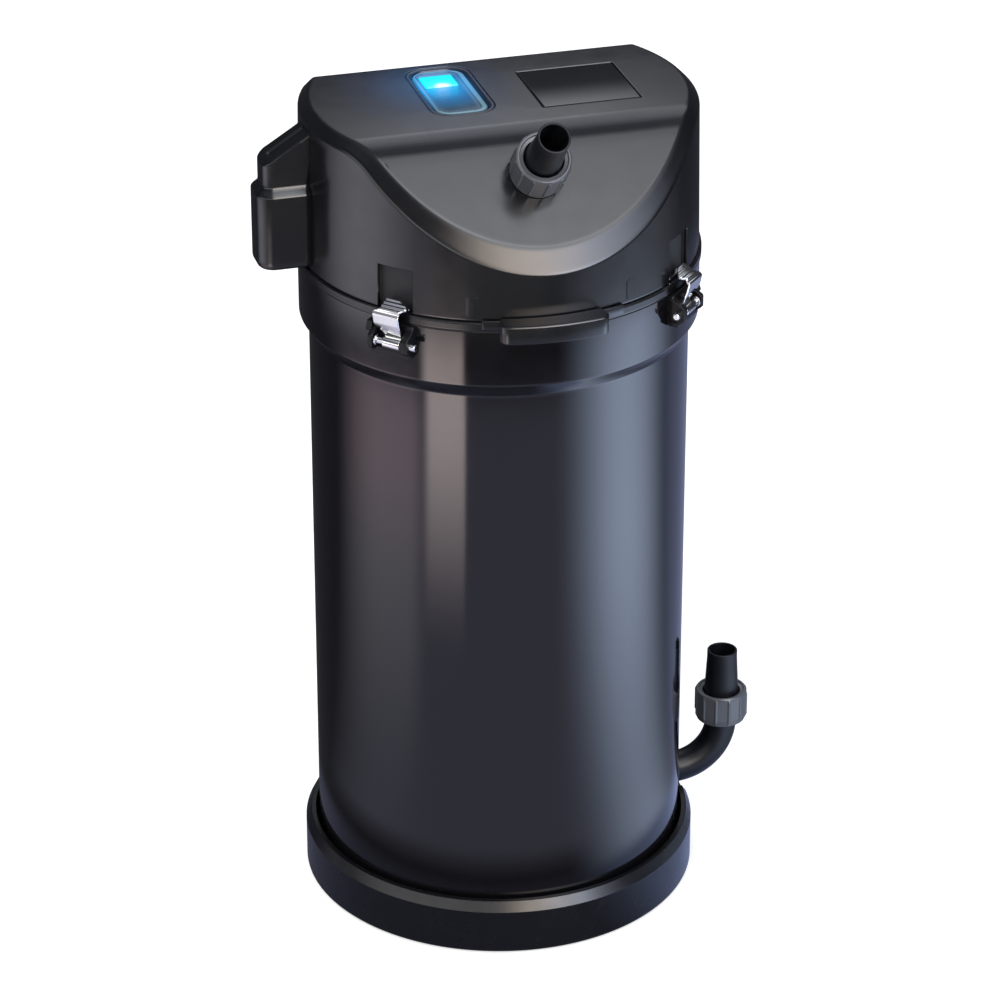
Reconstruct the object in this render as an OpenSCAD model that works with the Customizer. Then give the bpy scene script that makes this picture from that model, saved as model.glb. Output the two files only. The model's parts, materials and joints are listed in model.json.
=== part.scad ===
// External canister filter: a canister of filter media on a base ring, under a pump head that is
// held down by four clips. Water enters at the low elbow and leaves by the spigot on the slope.
// Origin: centre of the base ring's underside. +Z is up, and the front looks along -Y.

/* [Canister] */
// Outer diameter of the canister's body
canister_d = 160; // [150:1:170]
// Wall thickness of the canister
canister_wall = 3; // [2.5:0.1:3.6]
// Thickness of the canister's floor
canister_floor = 3.5; // [2.5:0.1:6]
// Height of the canister's straight body, from its underside to the shoulder
body_h = 260.4; // [240:0.2:300]
// Height of the cone between the body and the collar
shoulder_h = 6.1; // [4:0.1:9]
// How far the collar stands out from the body
collar_step = 4.1; // [3.6:0.1:5.5]
// Height of the collar
collar_h = 24.5; // [23:0.1:32]

/* [Base ring] */
// Height of the base ring
base_h = 24.5; // [22:0.1:27]
// Thickness of the base ring's wall
base_wall = 4.6; // [3.6:0.1:7]
// Thickness of the base ring's floor
base_floor = 3; // [2:0.1:5]
// Gap between the canister and the base ring's wall
base_gap = 1.4; // [1.2:0.1:2.5]
// Height of the bevel round the base ring's top
base_bevel_h = 4.4; // [2:0.1:6]
// Width of the bevel round the base ring's top
base_bevel_w = 2.3; // [1:0.1:3]

/* [Head] */
// Thickness of the flange that rests on the canister's rim
flange_t = 4; // [3:0.1:6]
// How far the flange stands out from the collar
flange_lip = 0.7; // [0.3:0.1:2]
// How far the housing's wall stands back from the flange's edge
flange_ledge = 1; // [0.6:0.1:1.4]
// Height of the housing above the flange
head_h = 66.4; // [62:0.2:76]
// Draft of the housing's wall, from its foot to its top
head_draft = 1.2; // [0:0.1:2.5]
// Wall thickness of the housing
head_wall = 2.8; // [2.2:0.1:3.4]
// Distance of the plateau's front edge from the axis
plateau_front = 41.4; // [36:0.2:46]
// Distance of the plateau's back edge from the axis
plateau_back = 37.5; // [35:0.5:50]
// Angle of the front slope below the horizontal
slope_a = 45; // [42:0.5:47]
// Angle of the back slope below the horizontal
back_a = 50; // [40:1:52]
// Radius of the rounding between the plateau and the front slope
crest_r = 12.5; // [5:0.5:20]
// Radius of the rounding between the plateau and the back slope
ridge_r = 3; // [1:0.5:8]
// Setback of the bevel round the housing's top
bevel = 3.9; // [2:0.1:5]
// Depth of the head's skirt inside the collar
skirt_h = 14; // [12:0.5:20]
// Thickness of the skirt
skirt_t = 3; // [2.6:0.1:4]

/* [Front tab] */
// Half of the angle that the lifting tab covers
tab_a = 14.5; // [8:0.5:20]
// How far the tab stands out from the housing
tab_out = 9; // [6:0.5:14]
// Height of the tab
tab_h = 8.5; // [6:0.5:10]
// Corner radius of the tab
tab_r = 3.2; // [1:0.2:4]

/* [Clips] */
// Angle of each front clip from the front
clip_a = 46; // [35:1:52]
// Radius of the clip's steel pin
pin_r = 1.5; // [1.2:0.1:1.8]
// Length of the clip's steel pin
pin_l = 21; // [19:0.5:24]
// Distance of the clip's pin out from the collar
pin_out = 4.4; // [4.2:0.1:6]
// Distance of the clip's pin below the canister's rim
pin_drop = 8; // [7.8:0.2:12]
// Width of the clip's lever
lever_w = 12; // [9:0.5:12.5]
// Thickness of the clip's spring steel
lever_t = 1; // [0.8:0.1:1.2]
// Width of the pocket above the clip
pocket_w = 16; // [15:0.5:20]
// Height of the pocket above the clip
pocket_h = 18.6; // [14:0.2:24]
// Depth of the pocket above the clip
pocket_d = 3.2; // [3:0.1:4]

/* [Hose ends] */
// Outer radius of the pipes
pipe_r = 7; // [6.6:0.1:7.4]
// Radius of the waterway
way_r = 5; // [4:0.1:5.6]
// Radius of a tail where the hose stops
tail_base_r = 7.45; // [7:0.05:8]
// Radius of a tail at its tip
tail_tip_r = 6.4; // [6.1:0.1:6.6]
// Length of a tail above its thread
tail_l = 25; // [20:0.5:32]
// Height of the clamping nut
nut_h = 14.5; // [12:0.5:18]
// Outer radius of the clamping nut, over its ribs
nut_r = 12; // [11.7:0.1:14]
// Number of ribs on the clamping nut
nut_ribs = 12; // [8:1:16]
// Distance of the outlet from the axis, on the front slope
outlet_y = 55.5; // [54:0.1:59]
// Height of the inlet pipe's axis
inlet_z = 29; // [28:0.2:36]
// Bend radius of the inlet elbow
bend_r = 21.5; // [18:0.5:28]
// Straight run of the inlet pipe beyond the canister
inlet_run = 2.5; // [2.4:0.1:8]

/* [Button and panel] */
// Distance of the button's centre to the left of the axis
button_x = 19.2; // [17.5:0.1:22]
// Distance of the button's centre behind the axis
button_y = 5.8; // [4:0.1:8]
// Width of the button's cap
cap_w = 22; // [18:0.5:24]
// Length of the button's cap
cap_l = 49; // [40:0.5:51]
// Width of the bezel round the cap
bezel_w = 2.8; // [2:0.1:3.2]
// Travel of the button
button_travel = 1; // [0.6:0.1:1.2]
// Width of the blank panel
panel_w = 42.1; // [36:0.1:44]
// Length of the blank panel
panel_l = 41.5; // [36:0.1:44]
// Distance of the panel's centre to the right of the axis
panel_x = 33.5; // [32:0.1:36]

/* [Cable housing] */
// Width of the cable housing
box_w = 22; // [18:0.5:28]
// How far the cable housing stands out from the collar
box_out = 20.2; // [18:0.2:26]
// Height of the cable housing's lower part
box_low_h = 32; // [26:1:36]
// How far the cable housing steps in above its shoulder
box_step = 2.8; // [1:0.1:4]
// Corner radius of the cable housing
box_r = 5; // [4.4:0.2:7]
// Radius of the cable gland's hole
gland_r = 3.4; // [2.5:0.1:4]

/* [Pump] */
// Distance of the pump's axis behind the head's axis
pump_y = 30; // [29:0.5:34]
// Radius of the impeller
impeller_r = 18; // [14:0.5:19]
// Radius of the rotor magnet
magnet_r = 9.4; // [7:0.2:9.8]
// Height of the rotor magnet
magnet_h = 29; // [20:1:29]
// Radius of the pump's ceramic shaft
shaft_r = 1.5; // [1:0.1:2]
// Outer radius of the stator
stator_r = 23; // [21:0.5:23.5]

/* [Media] */
// Height of the water space under the lower screen
chamber_h = 38; // [34:1:60]
// Thickness of the screens
screen_t = 3; // [2:0.5:5]
// Height of the bed of ceramic rings
ring_bed_h = 40; // [20:1:60]
// Thickness of the coarse pad
coarse_h = 16; // [8:1:30]
// Thickness of the fine pad
fine_h = 12; // [6:1:20]
// Outer radius of a ceramic ring
ring_r = 7; // [6:0.5:9]

/* [Hidden] */

eps = 0.02;            // overlap of a cut beyond the face that it leaves
fit = 0.05;            // radial clearance of pieces that are assembled once
grip = 0.01;           // and of pieces that are pushed tight onto each other
run = 0.06;            // radial clearance of pieces that turn
gap = 0.3;             // clearance of pieces that move past each other
far = 200;             // longer than any cut needs to be

canister_r = canister_d / 2;
canister_in_r = canister_r - canister_wall;
floor_top = base_floor + canister_floor;
shoulder_z = base_floor + body_h;
collar_z = shoulder_z + shoulder_h;
collar_r = canister_r + collar_step;
collar_in_r = collar_r - canister_wall;
rim_z = collar_z + collar_h;
base_in_r = canister_r + base_gap;
base_r = base_in_r + base_wall;

seam_z = rim_z + flange_t;
top_z = seam_z + head_h;
flange_r = collar_r + flange_lip;
wall_r = flange_r - flange_ledge;
wall_top_r = wall_r - head_draft;

// ---- Rounded outlines ------------------------------------------------------------------------

function arc(cx, cy, r, a0, a1, n = 6) =
    [for (i = [0 : n]) let (a = a0 + (a1 - a0) * i / n) [cx + r * cos(a), cy + r * sin(a)]];

// A rectangle with round corners, about the origin
module round_rect(w, l, r) {
    square([w - 2 * r, l], center = true);
    square([w, l - 2 * r], center = true);
    for (x = [-1, 1], y = [-1, 1])
        translate([x * (w / 2 - r), y * (l / 2 - r)]) circle(r = r, $fn = 48);
}

module tube(r_out, r_in, h) {
    difference() {
        cylinder(r = r_out, h = h, $fn = 96);
        translate([0, 0, -eps]) cylinder(r = r_in, h = h + 2 * eps, $fn = 96);
    }
}

// Turns +Z to +X, about the inlet pipe's axis
module along_inlet(x = 0) {
    translate([x, 0, inlet_z]) rotate([0, 90, 0]) children();
}

// ---- Base ring and canister ------------------------------------------------------------------

foot_chamfer = 0.8;
canister_chamfer = 1.5;
boss_out = 0.6;        // the flat seat on the canister's outside stands this far out
boss_in = 3.4;         // and the one on its inside this far in
boss_out_r = pipe_r + 3.5;
boss_in_r = pipe_r + 6;
grommet_r = pipe_r + 2;
grommet_lip = 1.2;     // lip of the grommet outside, both its height and its width
grommet_lip_r = grommet_r + grommet_lip;
grommet_flange = 3;    // thickness of its flange inside
grommet_flange_r = grommet_r + 3;
seat_in_x = canister_in_r - boss_in;
seat_out_x = canister_r + boss_out;
notch_r = max(boss_out_r, grommet_lip_r) + gap;
notch_x = canister_r - canister_wall;    // the cut starts inside the base ring's wall

module base_ring() {
    color("#1b1c1f") difference() {
        rotate_extrude($fn = 128)
            polygon([
                [0, 0], [base_r - foot_chamfer, 0], [base_r, foot_chamfer],
                [base_r, base_h - base_bevel_h], [base_r - base_bevel_w, base_h],
                [base_in_r, base_h], [base_in_r, base_floor], [0, base_floor]]);
        along_inlet(notch_x) cylinder(r = notch_r, h = far / 4, $fn = 64);
        translate([notch_x, -notch_r, inlet_z]) cube([far / 4, 2 * notch_r, far / 4]);
    }
}

module canister() {
    color("#26272b") difference() {
        union() {
            rotate_extrude($fn = 128) polygon([
                [0, base_floor], [canister_r - canister_chamfer, base_floor],
                [canister_r, base_floor + canister_chamfer],
                [canister_r, shoulder_z], [collar_r, collar_z], [collar_r, rim_z],
                [collar_in_r, rim_z], [collar_in_r, collar_z], [canister_in_r, shoulder_z],
                [canister_in_r, floor_top], [0, floor_top]]);
            along_inlet(seat_in_x) cylinder(r = boss_in_r, h = boss_in + canister_wall / 2, $fn = 64);
            along_inlet(canister_in_r + canister_wall / 2)
                cylinder(r = boss_out_r, h = canister_wall / 2 + boss_out, $fn = 64);
        }
        along_inlet(seat_in_x - 1) cylinder(r = grommet_r, h = far / 4, $fn = 64);
    }
}

// ---- Hose ends -------------------------------------------------------------------------------
// Both are drawn from the plane of the nut's underside at z = 0, with the hose end upwards.

nut_wall = 1.65;            // wall of the nut round the thread
rib_r = 0.9;                // radius of the nut's ribs
rib_out = 0.6;              // how far they stand out of its body
rib_end = 0.6;              // and how far they stop short of its ends
thread_r = nut_r - rib_out - nut_wall;    // the thread is a plain collar
thread_z = 1;
thread_l = 8;
stop_h = 1.5;               // the ledge that the hose stops at
stop_out = 1;
tip_l = 3.5;                // the cylindrical land at the tip
nut_shoulder = thread_z + thread_l + 0.5;    // height of the bore for the thread
hose_t = 1.85;              // room for the hose between the tail and the nut
nut_mouth_r = tail_base_r + hose_t;
tail_z = thread_z + thread_l;
tail_top = tail_z + tail_l;

module tail_solid() {
    translate([0, 0, thread_z]) cylinder(r = thread_r, h = thread_l, $fn = 64);
    translate([0, 0, tail_z - eps]) cylinder(r = tail_base_r + stop_out, h = stop_h, $fn = 64);
    translate([0, 0, tail_z]) cylinder(r1 = tail_base_r, r2 = tail_tip_r, h = tail_l - tip_l, $fn = 64);
    translate([0, 0, tail_top - tip_l]) cylinder(r = tail_tip_r, h = tip_l, $fn = 64);
}

module clamping_nut() {
    difference() {
        union() {
            cylinder(r = nut_r - rib_out, h = nut_h, $fn = 96);
            for (i = [0 : nut_ribs - 1])
                rotate([0, 0, 360 * i / nut_ribs]) translate([nut_r - rib_r, 0, rib_end])
                    cylinder(r = rib_r, h = nut_h - 2 * rib_end, $fn = 24);
        }
        translate([0, 0, -eps]) cylinder(r = thread_r + run, h = nut_shoulder + eps, $fn = 64);
        cylinder(r = nut_mouth_r, h = nut_h + eps, $fn = 64);
    }
}

bend_x = canister_r + inlet_run;     // where the elbow starts to bend
elbow_x = bend_x + bend_r;
elbow_rise = 1.5;                    // from the end of the bend to the nut
elbow_nut_z = inlet_z + bend_r + elbow_rise;
retainer_t = 3;
retainer_out = 4;
retainer_x = seat_in_x - grommet_flange - gap - retainer_t;
inlet_end_x = retainer_x - 2.5;      // the pipe's end lies this far beyond the retainer

// Straight runs and bend are each hollow, and meet end to end
module inlet_elbow() {
    color("#17181b") {
        along_inlet(inlet_end_x) tube(pipe_r, way_r, bend_x - inlet_end_x);
        translate([bend_x, 0, inlet_z + bend_r]) rotate([90, 0, 0]) rotate([0, 0, -90])
            rotate_extrude(angle = 90, $fn = 96) translate([bend_r, 0]) difference() {
                circle(r = pipe_r, $fn = 64);
                circle(r = way_r, $fn = 64);
            }
        translate([elbow_x, 0, inlet_z + bend_r]) difference() {
            union() {
                cylinder(r = pipe_r, h = elbow_nut_z + tail_z - inlet_z - bend_r, $fn = 64);
                translate([0, 0, elbow_nut_z - inlet_z - bend_r]) tail_solid();
            }
            translate([0, 0, -eps]) cylinder(r = way_r, h = far / 2, $fn = 64);
        }
    }
}

module inlet_retainer() {
    color("#3a3d42") along_inlet(retainer_x) tube(pipe_r + retainer_out, pipe_r + grip, retainer_t);
}

module inlet_grommet() {
    l = seat_out_x - seat_in_x;
    color("#101114") along_inlet(seat_in_x) rotate_extrude($fn = 64) polygon([
        [pipe_r + run, -grommet_flange], [grommet_flange_r, -grommet_flange], [grommet_flange_r, 0],
        [grommet_r - fit, 0], [grommet_r - fit, l], [grommet_lip_r, l],
        [grommet_lip_r, l + grommet_lip], [pipe_r + run, l + grommet_lip]]);
}

module inlet_nut() {
    color("#596170") translate([elbow_x, 0, elbow_nut_z]) clamping_nut();
}

// ---- Media, from the bottom up ---------------------------------------------------------------

media_gap = 0.4;
media_r = canister_in_r - media_gap;
lower_screen_z = floor_top + chamber_h;
ring_bed_z = lower_screen_z + screen_t;
coarse_z = ring_bed_z + ring_bed_h;
bed_z = coarse_z + coarse_h;
screen_drop = 6;            // the upper screen lies this far below the shoulder
upper_screen_z = shoulder_z - screen_t - screen_drop;
fine_z = upper_screen_z - fine_h;
ring_wall = 3;              // of a ceramic ring
ring_space = 1;             // between neighbouring rings
hole_r = 4;                 // of a hole in a screen
hole_pitch = 15;
hole_edge = 8;              // the holes' centres stay this far from the screen's edge
leg_r = 4;                  // of a leg under the lower screen
leg_in = 26;                // from the canister's inner wall to the leg's centre

// Centres of a hexagonal pattern at the given pitch, inside the given radius
function hex_spots(pitch, r) = let (n = ceil(r / pitch) + 1)
    [for (i = [-n : n], j = [-n : n])
        let (p = [pitch * (i + j / 2), pitch * j * sqrt(3) / 2])
        if (norm(p) <= r) p];

module screen(z) {
    translate([0, 0, z]) difference() {
        cylinder(r = media_r, h = screen_t, $fn = 96);
        for (p = hex_spots(hole_pitch, media_r - hole_edge))
            translate([p[0], p[1], -eps]) cylinder(r = hole_r, h = screen_t + 2 * eps, $fn = 24);
    }
}

module lower_screen() {
    color("#2f6d4f") {
        screen(lower_screen_z);
        for (a = [45 : 90 : 315]) rotate([0, 0, a])
            translate([canister_in_r - leg_in, 0, floor_top])
                cylinder(r = leg_r, h = chamber_h + eps, $fn = 32);
    }
}

module media_rings() {
    color("#d8d2c2")
        for (p = hex_spots(2 * ring_r + ring_space, media_r - ring_r))
            translate([p[0], p[1], ring_bed_z]) tube(ring_r, ring_r - ring_wall, ring_bed_h);
}

module coarse_pad() {
    color("#2d6fb5") translate([0, 0, coarse_z]) cylinder(r = media_r, h = coarse_h, $fn = 96);
}

module media_bed() {
    color("#b9a98b") translate([0, 0, bed_z]) cylinder(r = media_r, h = fine_z - bed_z, $fn = 96);
}

module fine_pad() {
    color("#eceae4") translate([0, 0, fine_z]) cylinder(r = media_r, h = fine_h, $fn = 96);
}

module upper_screen() {
    color("#2f6d4f") screen(upper_screen_z);
}

// ---- Head: outer form ------------------------------------------------------------------------

// Height of the front slope's surface at a distance in front of the axis
function slope_z(y) = top_z - (y - plateau_front) * tan(slope_a);

// Side outline of the head's top, at a depth t inside its surface: [y, z] points
function head_outline(t) = let (
        front = -plateau_front + t * tan(slope_a / 2),
        back = plateau_back - t * tan(back_a / 2),
        crest = max(crest_r - t, 0.2),
        ridge = max(ridge_r - t, 0.2),
        z = top_z - t,
        reach = 100)
    concat(
        [[-reach, 0], [-reach, z - (reach + front) * tan(slope_a)]],
        arc(front + crest * tan(slope_a / 2), z - crest, crest, 90 + slope_a, 90),
        arc(back - ridge * tan(back_a / 2), z - ridge, ridge, 90, 90 - back_a, 3),
        [[reach, z - (reach - back) * tan(back_a)], [reach, 0]]);

module head_side(t) {
    rotate([90, 0, 90]) linear_extrude(far, center = true) polygon(head_outline(t));
}

// The head's form at a depth t inside its surface, with the bevel round its top
module head_form(t = 0) {
    bevel_r = wall_top_r - bevel - t * tan(22.5);
    bevel_reach = 8;
    intersection() {
        translate([0, 0, seam_z]) cylinder(r1 = wall_r - t, r2 = wall_top_r - t, h = head_h, $fn = 128);
        hull() {
            intersection() {
                head_side(t);
                translate([0, 0, seam_z - 1]) cylinder(r = bevel_r, h = head_h + 1, $fn = 64);
            }
            intersection() {
                translate([0, 0, -bevel_reach]) head_side(t);
                translate([0, 0, seam_z - 1])
                    cylinder(r = bevel_r + bevel_reach, h = head_h + 1, $fn = 64);
            }
        }
    }
}

// Puts its children at the outlet, with +Z square to the slope and z = 0 on its surface
module at_outlet(w = 0) {
    translate([0, -outlet_y, slope_z(outlet_y)]) rotate([slope_a, 0, 0])
        translate([0, 0, w]) children();
}

// The four clips: a row is its angle from the front, and the side on which its wing stands
clips = [[-clip_a, -1], [clip_a, 1], [180 + clip_a, 1], [180 - clip_a, -1]];
FL = clips[0];
FR = clips[1];
RL = clips[2];
RR = clips[3];

// ---- Head housing ----------------------------------------------------------------------------

screw_r = 1.5;
screw_a = 22;               // angle of a screw from the front or the back
screw_in = 15.8;            // from the housing's wall to a screw
screw_at = wall_r - screw_in;
screw_bite = 14;            // length of a screw in its boss
screw_clear = 3;            // the hole is this much deeper
screw_boss_r = 4;
screw_spots = [for (a = [screw_a, 180 - screw_a, 180 + screw_a, 360 - screw_a])
    [screw_at * sin(a), -screw_at * cos(a)]];
board_drop = 12;            // from the plateau down to the control board
board_z = top_z - board_drop;
board_t = 1.6;
board_w = 84;
board_front = -29;
board_back = 30;
post_r = 2.5;               // of a post between the board and the roof
post_in = 4;                // from the board's edges to a post
post_spots = [for (x = [post_in - board_w / 2, board_w / 2 - post_in],
    y = [board_front + post_in, board_back - post_in]) [x, y]];
bezel_t = 1.6;
bezel_r = 9;
bezel_open_w = cap_w + 2 * bezel_w;
bezel_open_l = cap_l + 2 * bezel_w;
cap_r = 6.5;
panel_t = 0.8;
panel_recess = 1;
panel_y = -2.25;
panel_corner = 0.8;
wire_r = 3;                 // of the hole for the wires from the cable housing
wire_z = seam_z + box_low_h / 2;

module at_button(z) {
    translate([-button_x, button_y, z]) children();
}

// A block over each clip, as deep into the wall as asked
module pocket_block(depth, w, h) {
    outside = 5;
    for (c = clips) rotate([0, 0, c[0]])
        translate([-w / 2, -wall_r - outside, seam_z - eps]) cube([w, outside + depth, h]);
}

module head_housing() {
    color("#232427") difference() {
        union() {
            difference() {
                head_form(0);
                difference() {
                    translate([0, 0, -eps]) head_form(head_wall);
                    pocket_block(pocket_d + head_wall, pocket_w + 2 * head_wall, pocket_h + head_wall);
                    for (p = screw_spots) translate([p[0], p[1], seam_z])
                        cylinder(r = screw_boss_r, h = head_h, $fn = 32);
                    for (p = post_spots) translate([p[0], p[1], board_z + board_t])
                        cylinder(r = post_r, h = board_drop, $fn = 32);
                }
            }
            front_marks();
        }
        pocket_block(pocket_d, pocket_w, pocket_h);
        for (p = screw_spots) translate([p[0], p[1], seam_z - 1])
            cylinder(r = screw_r + fit, h = 1 + screw_bite + screw_clear, $fn = 32);
        at_outlet(-far / 4) cylinder(r = pipe_r + run, h = far / 2, $fn = 64);
        at_button(top_z - bezel_t) linear_extrude(far / 4)
            round_rect(bezel_open_w, bezel_open_l, bezel_r);
        at_button(top_z - head_wall - 1) linear_extrude(far / 4) cap_opening();
        translate([panel_x, panel_y, top_z - panel_recess])
            linear_extrude(far / 4) round_rect(panel_w, panel_l, panel_corner);
        translate([-wall_r - 1, 0, wire_z]) rotate([0, 90, 0])
            cylinder(r = wire_r, h = 2 * head_wall, $fn = 32);
    }
}

mark_a = tab_a + 9;         // angle of a mark from the front
mark_w = 4.4;
mark_h = 8.6;
mark_out = 0.5;

// Shallow raised marks beside the tab, where the housing is keyed to its base
module front_marks() {
    for (side = [-1, 1])
        intersection() {
            translate([0, 0, seam_z + 2]) tube(wall_r + mark_out, wall_r - head_wall / 2, mark_h);
            rotate([0, 0, side * mark_a]) translate([-mark_w / 2, -far / 2, seam_z])
                cube([mark_w, far / 2, far / 2]);
        }
}

module panel_inlay() {
    color("#1d1e21") translate([panel_x, panel_y, top_z - panel_recess]) linear_extrude(panel_t)
        round_rect(panel_w - 2 * fit, panel_l - 2 * fit, panel_corner - fit);
}

// ---- Button ----------------------------------------------------------------------------------

cap_sink = 0.5;        // the cap's top lies this far below the plateau
cap_wall = 1.6;
cap_top = 2.4;         // thickness of its top
cap_lip = 1.2;         // the lip that keeps it under the roof
lip_t = 1;
stem_r = 2;
window_w = 14;
window_l = 12.5;
window_end = 4.85;     // from the cap's back end to the window
window_x = -1.2;       // the window's centre, from the cap's centre
window_y = (cap_l - window_l) / 2 - window_end;
window_t = 1.6;
window_r = 1;
switch_w = 6;
switch_h = 3.5;
plunger_r = 1.6;
plunger_h = 1.5;
lamp_w = 5;
lamp_h = 2;
capacitor_r = 3;
capacitor_h = 5.5;
capacitor_x = [14, 24];
capacitor_y = 8;
chip_x = 8;
chip_y = -14;
chip_w = 12;
chip_h = 1.8;

module cap_opening() {
    round_rect(cap_w + 2 * gap, cap_l + 2 * gap, cap_r + gap);
}

// The bezel's edge, which stands clear of its seat all round
module bezel_outline() {
    round_rect(bezel_open_w - 4 * fit, bezel_open_l - 4 * fit, bezel_r - 2 * fit);
}

module button_bezel() {
    color("#202124") at_button(top_z - bezel_t) linear_extrude(bezel_t) difference() {
        bezel_outline();
        cap_opening();
    }
}

module button_cap() {
    cap_z = top_z - cap_sink;
    lip_top = top_z - head_wall - gap;
    cap_bottom = lip_top - lip_t;
    stem_end = board_z + board_t + switch_h + plunger_h + button_travel + gap;
    color("#2b3a46") difference() {
        union() {
            at_button(cap_bottom) linear_extrude(cap_z - cap_bottom) round_rect(cap_w, cap_l, cap_r);
            at_button(cap_bottom) linear_extrude(lip_t)
                round_rect(cap_w + 2 * cap_lip, cap_l + 2 * cap_lip, cap_r + cap_lip);
        }
        at_button(cap_bottom - 1) linear_extrude(cap_z - cap_top - cap_bottom + 1)
            round_rect(cap_w - 2 * cap_wall, cap_l - 2 * cap_wall, cap_r - cap_wall);
        at_window() linear_extrude(far / 4)
            round_rect(window_w + 2 * fit, window_l + 2 * fit, window_r + fit);
    }
    color("#2b3a46") at_button(stem_end)
        cylinder(r = stem_r, h = cap_z - cap_top - stem_end + eps, $fn = 32);
}

module at_window() {
    at_button(top_z - cap_sink - window_t) translate([window_x, window_y, 0]) children();
}

module light_window() {
    color("#27d3ff") at_window() linear_extrude(window_t) round_rect(window_w, window_l, window_r);
}

module control_board() {
    color("#1f5c3a") translate([-board_w / 2, board_front, board_z])
        cube([board_w, board_back - board_front, board_t]);
}

module board_parts() {
    top = board_z + board_t;
    color("#3b3f45") {
        at_button(top) translate([-switch_w / 2, -switch_w / 2, 0])
            cube([switch_w, switch_w, switch_h]);
        at_button(top + switch_h - eps) cylinder(r = plunger_r, h = plunger_h + eps, $fn = 32);
        at_button(top) translate([window_x - lamp_w / 2, window_y - lamp_w / 2, 0])
            cube([lamp_w, lamp_w, lamp_h]);
    }
    color("#20242c") {
        for (x = capacitor_x) translate([x, capacitor_y, top])
            cylinder(r = capacitor_r, h = capacitor_h, $fn = 32);
        translate([chip_x, chip_y, top]) cube([chip_w, chip_w, chip_h]);
    }
}

// ---- Head base, gasket and screws ------------------------------------------------------------

gasket_t = 4;
gasket_depth = 2.2;             // radial depth of the gasket
gasket_drop = 5;                // from the rim down to the gasket
gasket_z = rim_z - gasket_drop - gasket_t;
well_in_r = magnet_r + 1.4;
well_wall = 2;
well_step = 0.7;                // the ledge that the stator stands on
well_top_z = seam_z + 42;
volute_r = impeller_r + 3;
volute_wall = 2.5;
volute_h = 13;
volute_roof = 2;
volute_z = rim_z - volute_h;
port_w = way_r + 2;             // half the width of the duct to the outlet
port_end = 6;                   // the duct's end, in front of the outlet's axis
ledge_h = 8;
socket_r = pipe_r + 4;
spigot_drop = (slope_z(outlet_y) - seam_z) / cos(slope_a);     // along the axis, down to the plate
socket_l = 16;
spigot_end = spigot_drop - 8;
port_y = -outlet_y + spigot_drop * sin(slope_a);                // where the axis meets the plate
skirt_r = collar_in_r - gap;
tab_rise = 2;                   // how far the tab stands above the seam
shelf_a = tab_a + 6;            // half angle of the ridge behind the tab
shelf_out = 2.4;
shelf_h = 5;
screw_head_r = 3;
screw_head_h = 2.2;

module volute_outline(grow) {
    w = port_w + grow;
    translate([0, pump_y]) circle(r = volute_r + grow, $fn = 96);
    translate([-w, port_y - port_end]) square([2 * w, pump_y - port_y + port_end]);
    translate([0, port_y - port_end]) circle(r = w, $fn = 48);
}

// A wedge about the front, of the given half angle
module front_wedge(a) {
    polygon([[0, 0], far * [-sin(a), -cos(a)], far * [sin(a), -cos(a)]]);
}

module tab_outline() {
    inner = max(wall_r, collar_r) + gap;
    offset(r = tab_r, $fn = 24) offset(delta = -tab_r) intersection() {
        difference() {
            circle(r = inner + tab_out, $fn = 128);
            circle(r = inner, $fn = 128);
        }
        front_wedge(tab_a);
    }
}

module head_base() {
    color("#1f2023") difference() {
        union() {
            translate([0, 0, rim_z]) cylinder(r = flange_r, h = flange_t, $fn = 128);
            translate([0, 0, rim_z - skirt_h]) tube(skirt_r, skirt_r - skirt_t, skirt_h + eps);
            translate([0, 0, volute_z]) linear_extrude(volute_h + eps) volute_outline(volute_wall);
            at_pump(seam_z - eps) {
                cylinder(r = well_in_r + well_wall + well_step, h = ledge_h + eps, $fn = 96);
                cylinder(r = well_in_r + well_wall, h = well_top_z + well_wall - seam_z, $fn = 96);
            }
            intersection() {
                at_outlet(-spigot_drop - 20) cylinder(r = socket_r, h = socket_l + 20, $fn = 64);
                translate([-far / 2, -far / 2, seam_z - 1]) cube([far, far, head_h / 2]);
            }
            translate([0, 0, seam_z - tab_h + tab_rise]) linear_extrude(tab_h) tab_outline();
            intersection() {
                translate([0, 0, seam_z - shelf_h + tab_rise])
                    tube(wall_r + shelf_out, wall_r + gap, shelf_h);
                translate([0, 0, rim_z - 1]) linear_extrude(head_h) front_wedge(shelf_a);
            }
        }
        translate([0, 0, gasket_z]) difference() {
            cylinder(r = skirt_r + 1, h = gasket_t, $fn = 128);
            translate([0, 0, -1]) cylinder(r = gasket_in_r, h = gasket_t + 2, $fn = 128);
        }
        translate([0, 0, volute_z - eps]) linear_extrude(volute_h - volute_roof) volute_outline(0);
        at_pump(volute_z) cylinder(r = well_in_r, h = well_top_z - volute_z, $fn = 96);
        at_outlet(-spigot_drop - port_end) cylinder(r = way_r, h = 20, $fn = 64);
        at_outlet(-spigot_end - 0.5) cylinder(r = pipe_r + fit, h = far / 4, $fn = 64);
        for (p = screw_spots) translate([p[0], p[1], rim_z - 1])
            cylinder(r = screw_r + 0.2, h = flange_t + 2, $fn = 32);
    }
}

gasket_in_r = collar_in_r - gasket_depth;

module head_gasket() {
    color("#0d0d0f") translate([0, 0, gasket_z + fit])
        tube(collar_in_r - fit, gasket_in_r + fit, gasket_t - 2 * fit);
}

module head_screws() {
    color("#b9bcc2") for (p = screw_spots) translate([p[0], p[1], rim_z - screw_head_h]) {
        cylinder(r = screw_head_r, h = screw_head_h, $fn = 32);
        cylinder(r = screw_r, h = screw_head_h + flange_t + screw_bite, $fn = 32);
    }
}

// ---- Pump ------------------------------------------------------------------------------------

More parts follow.
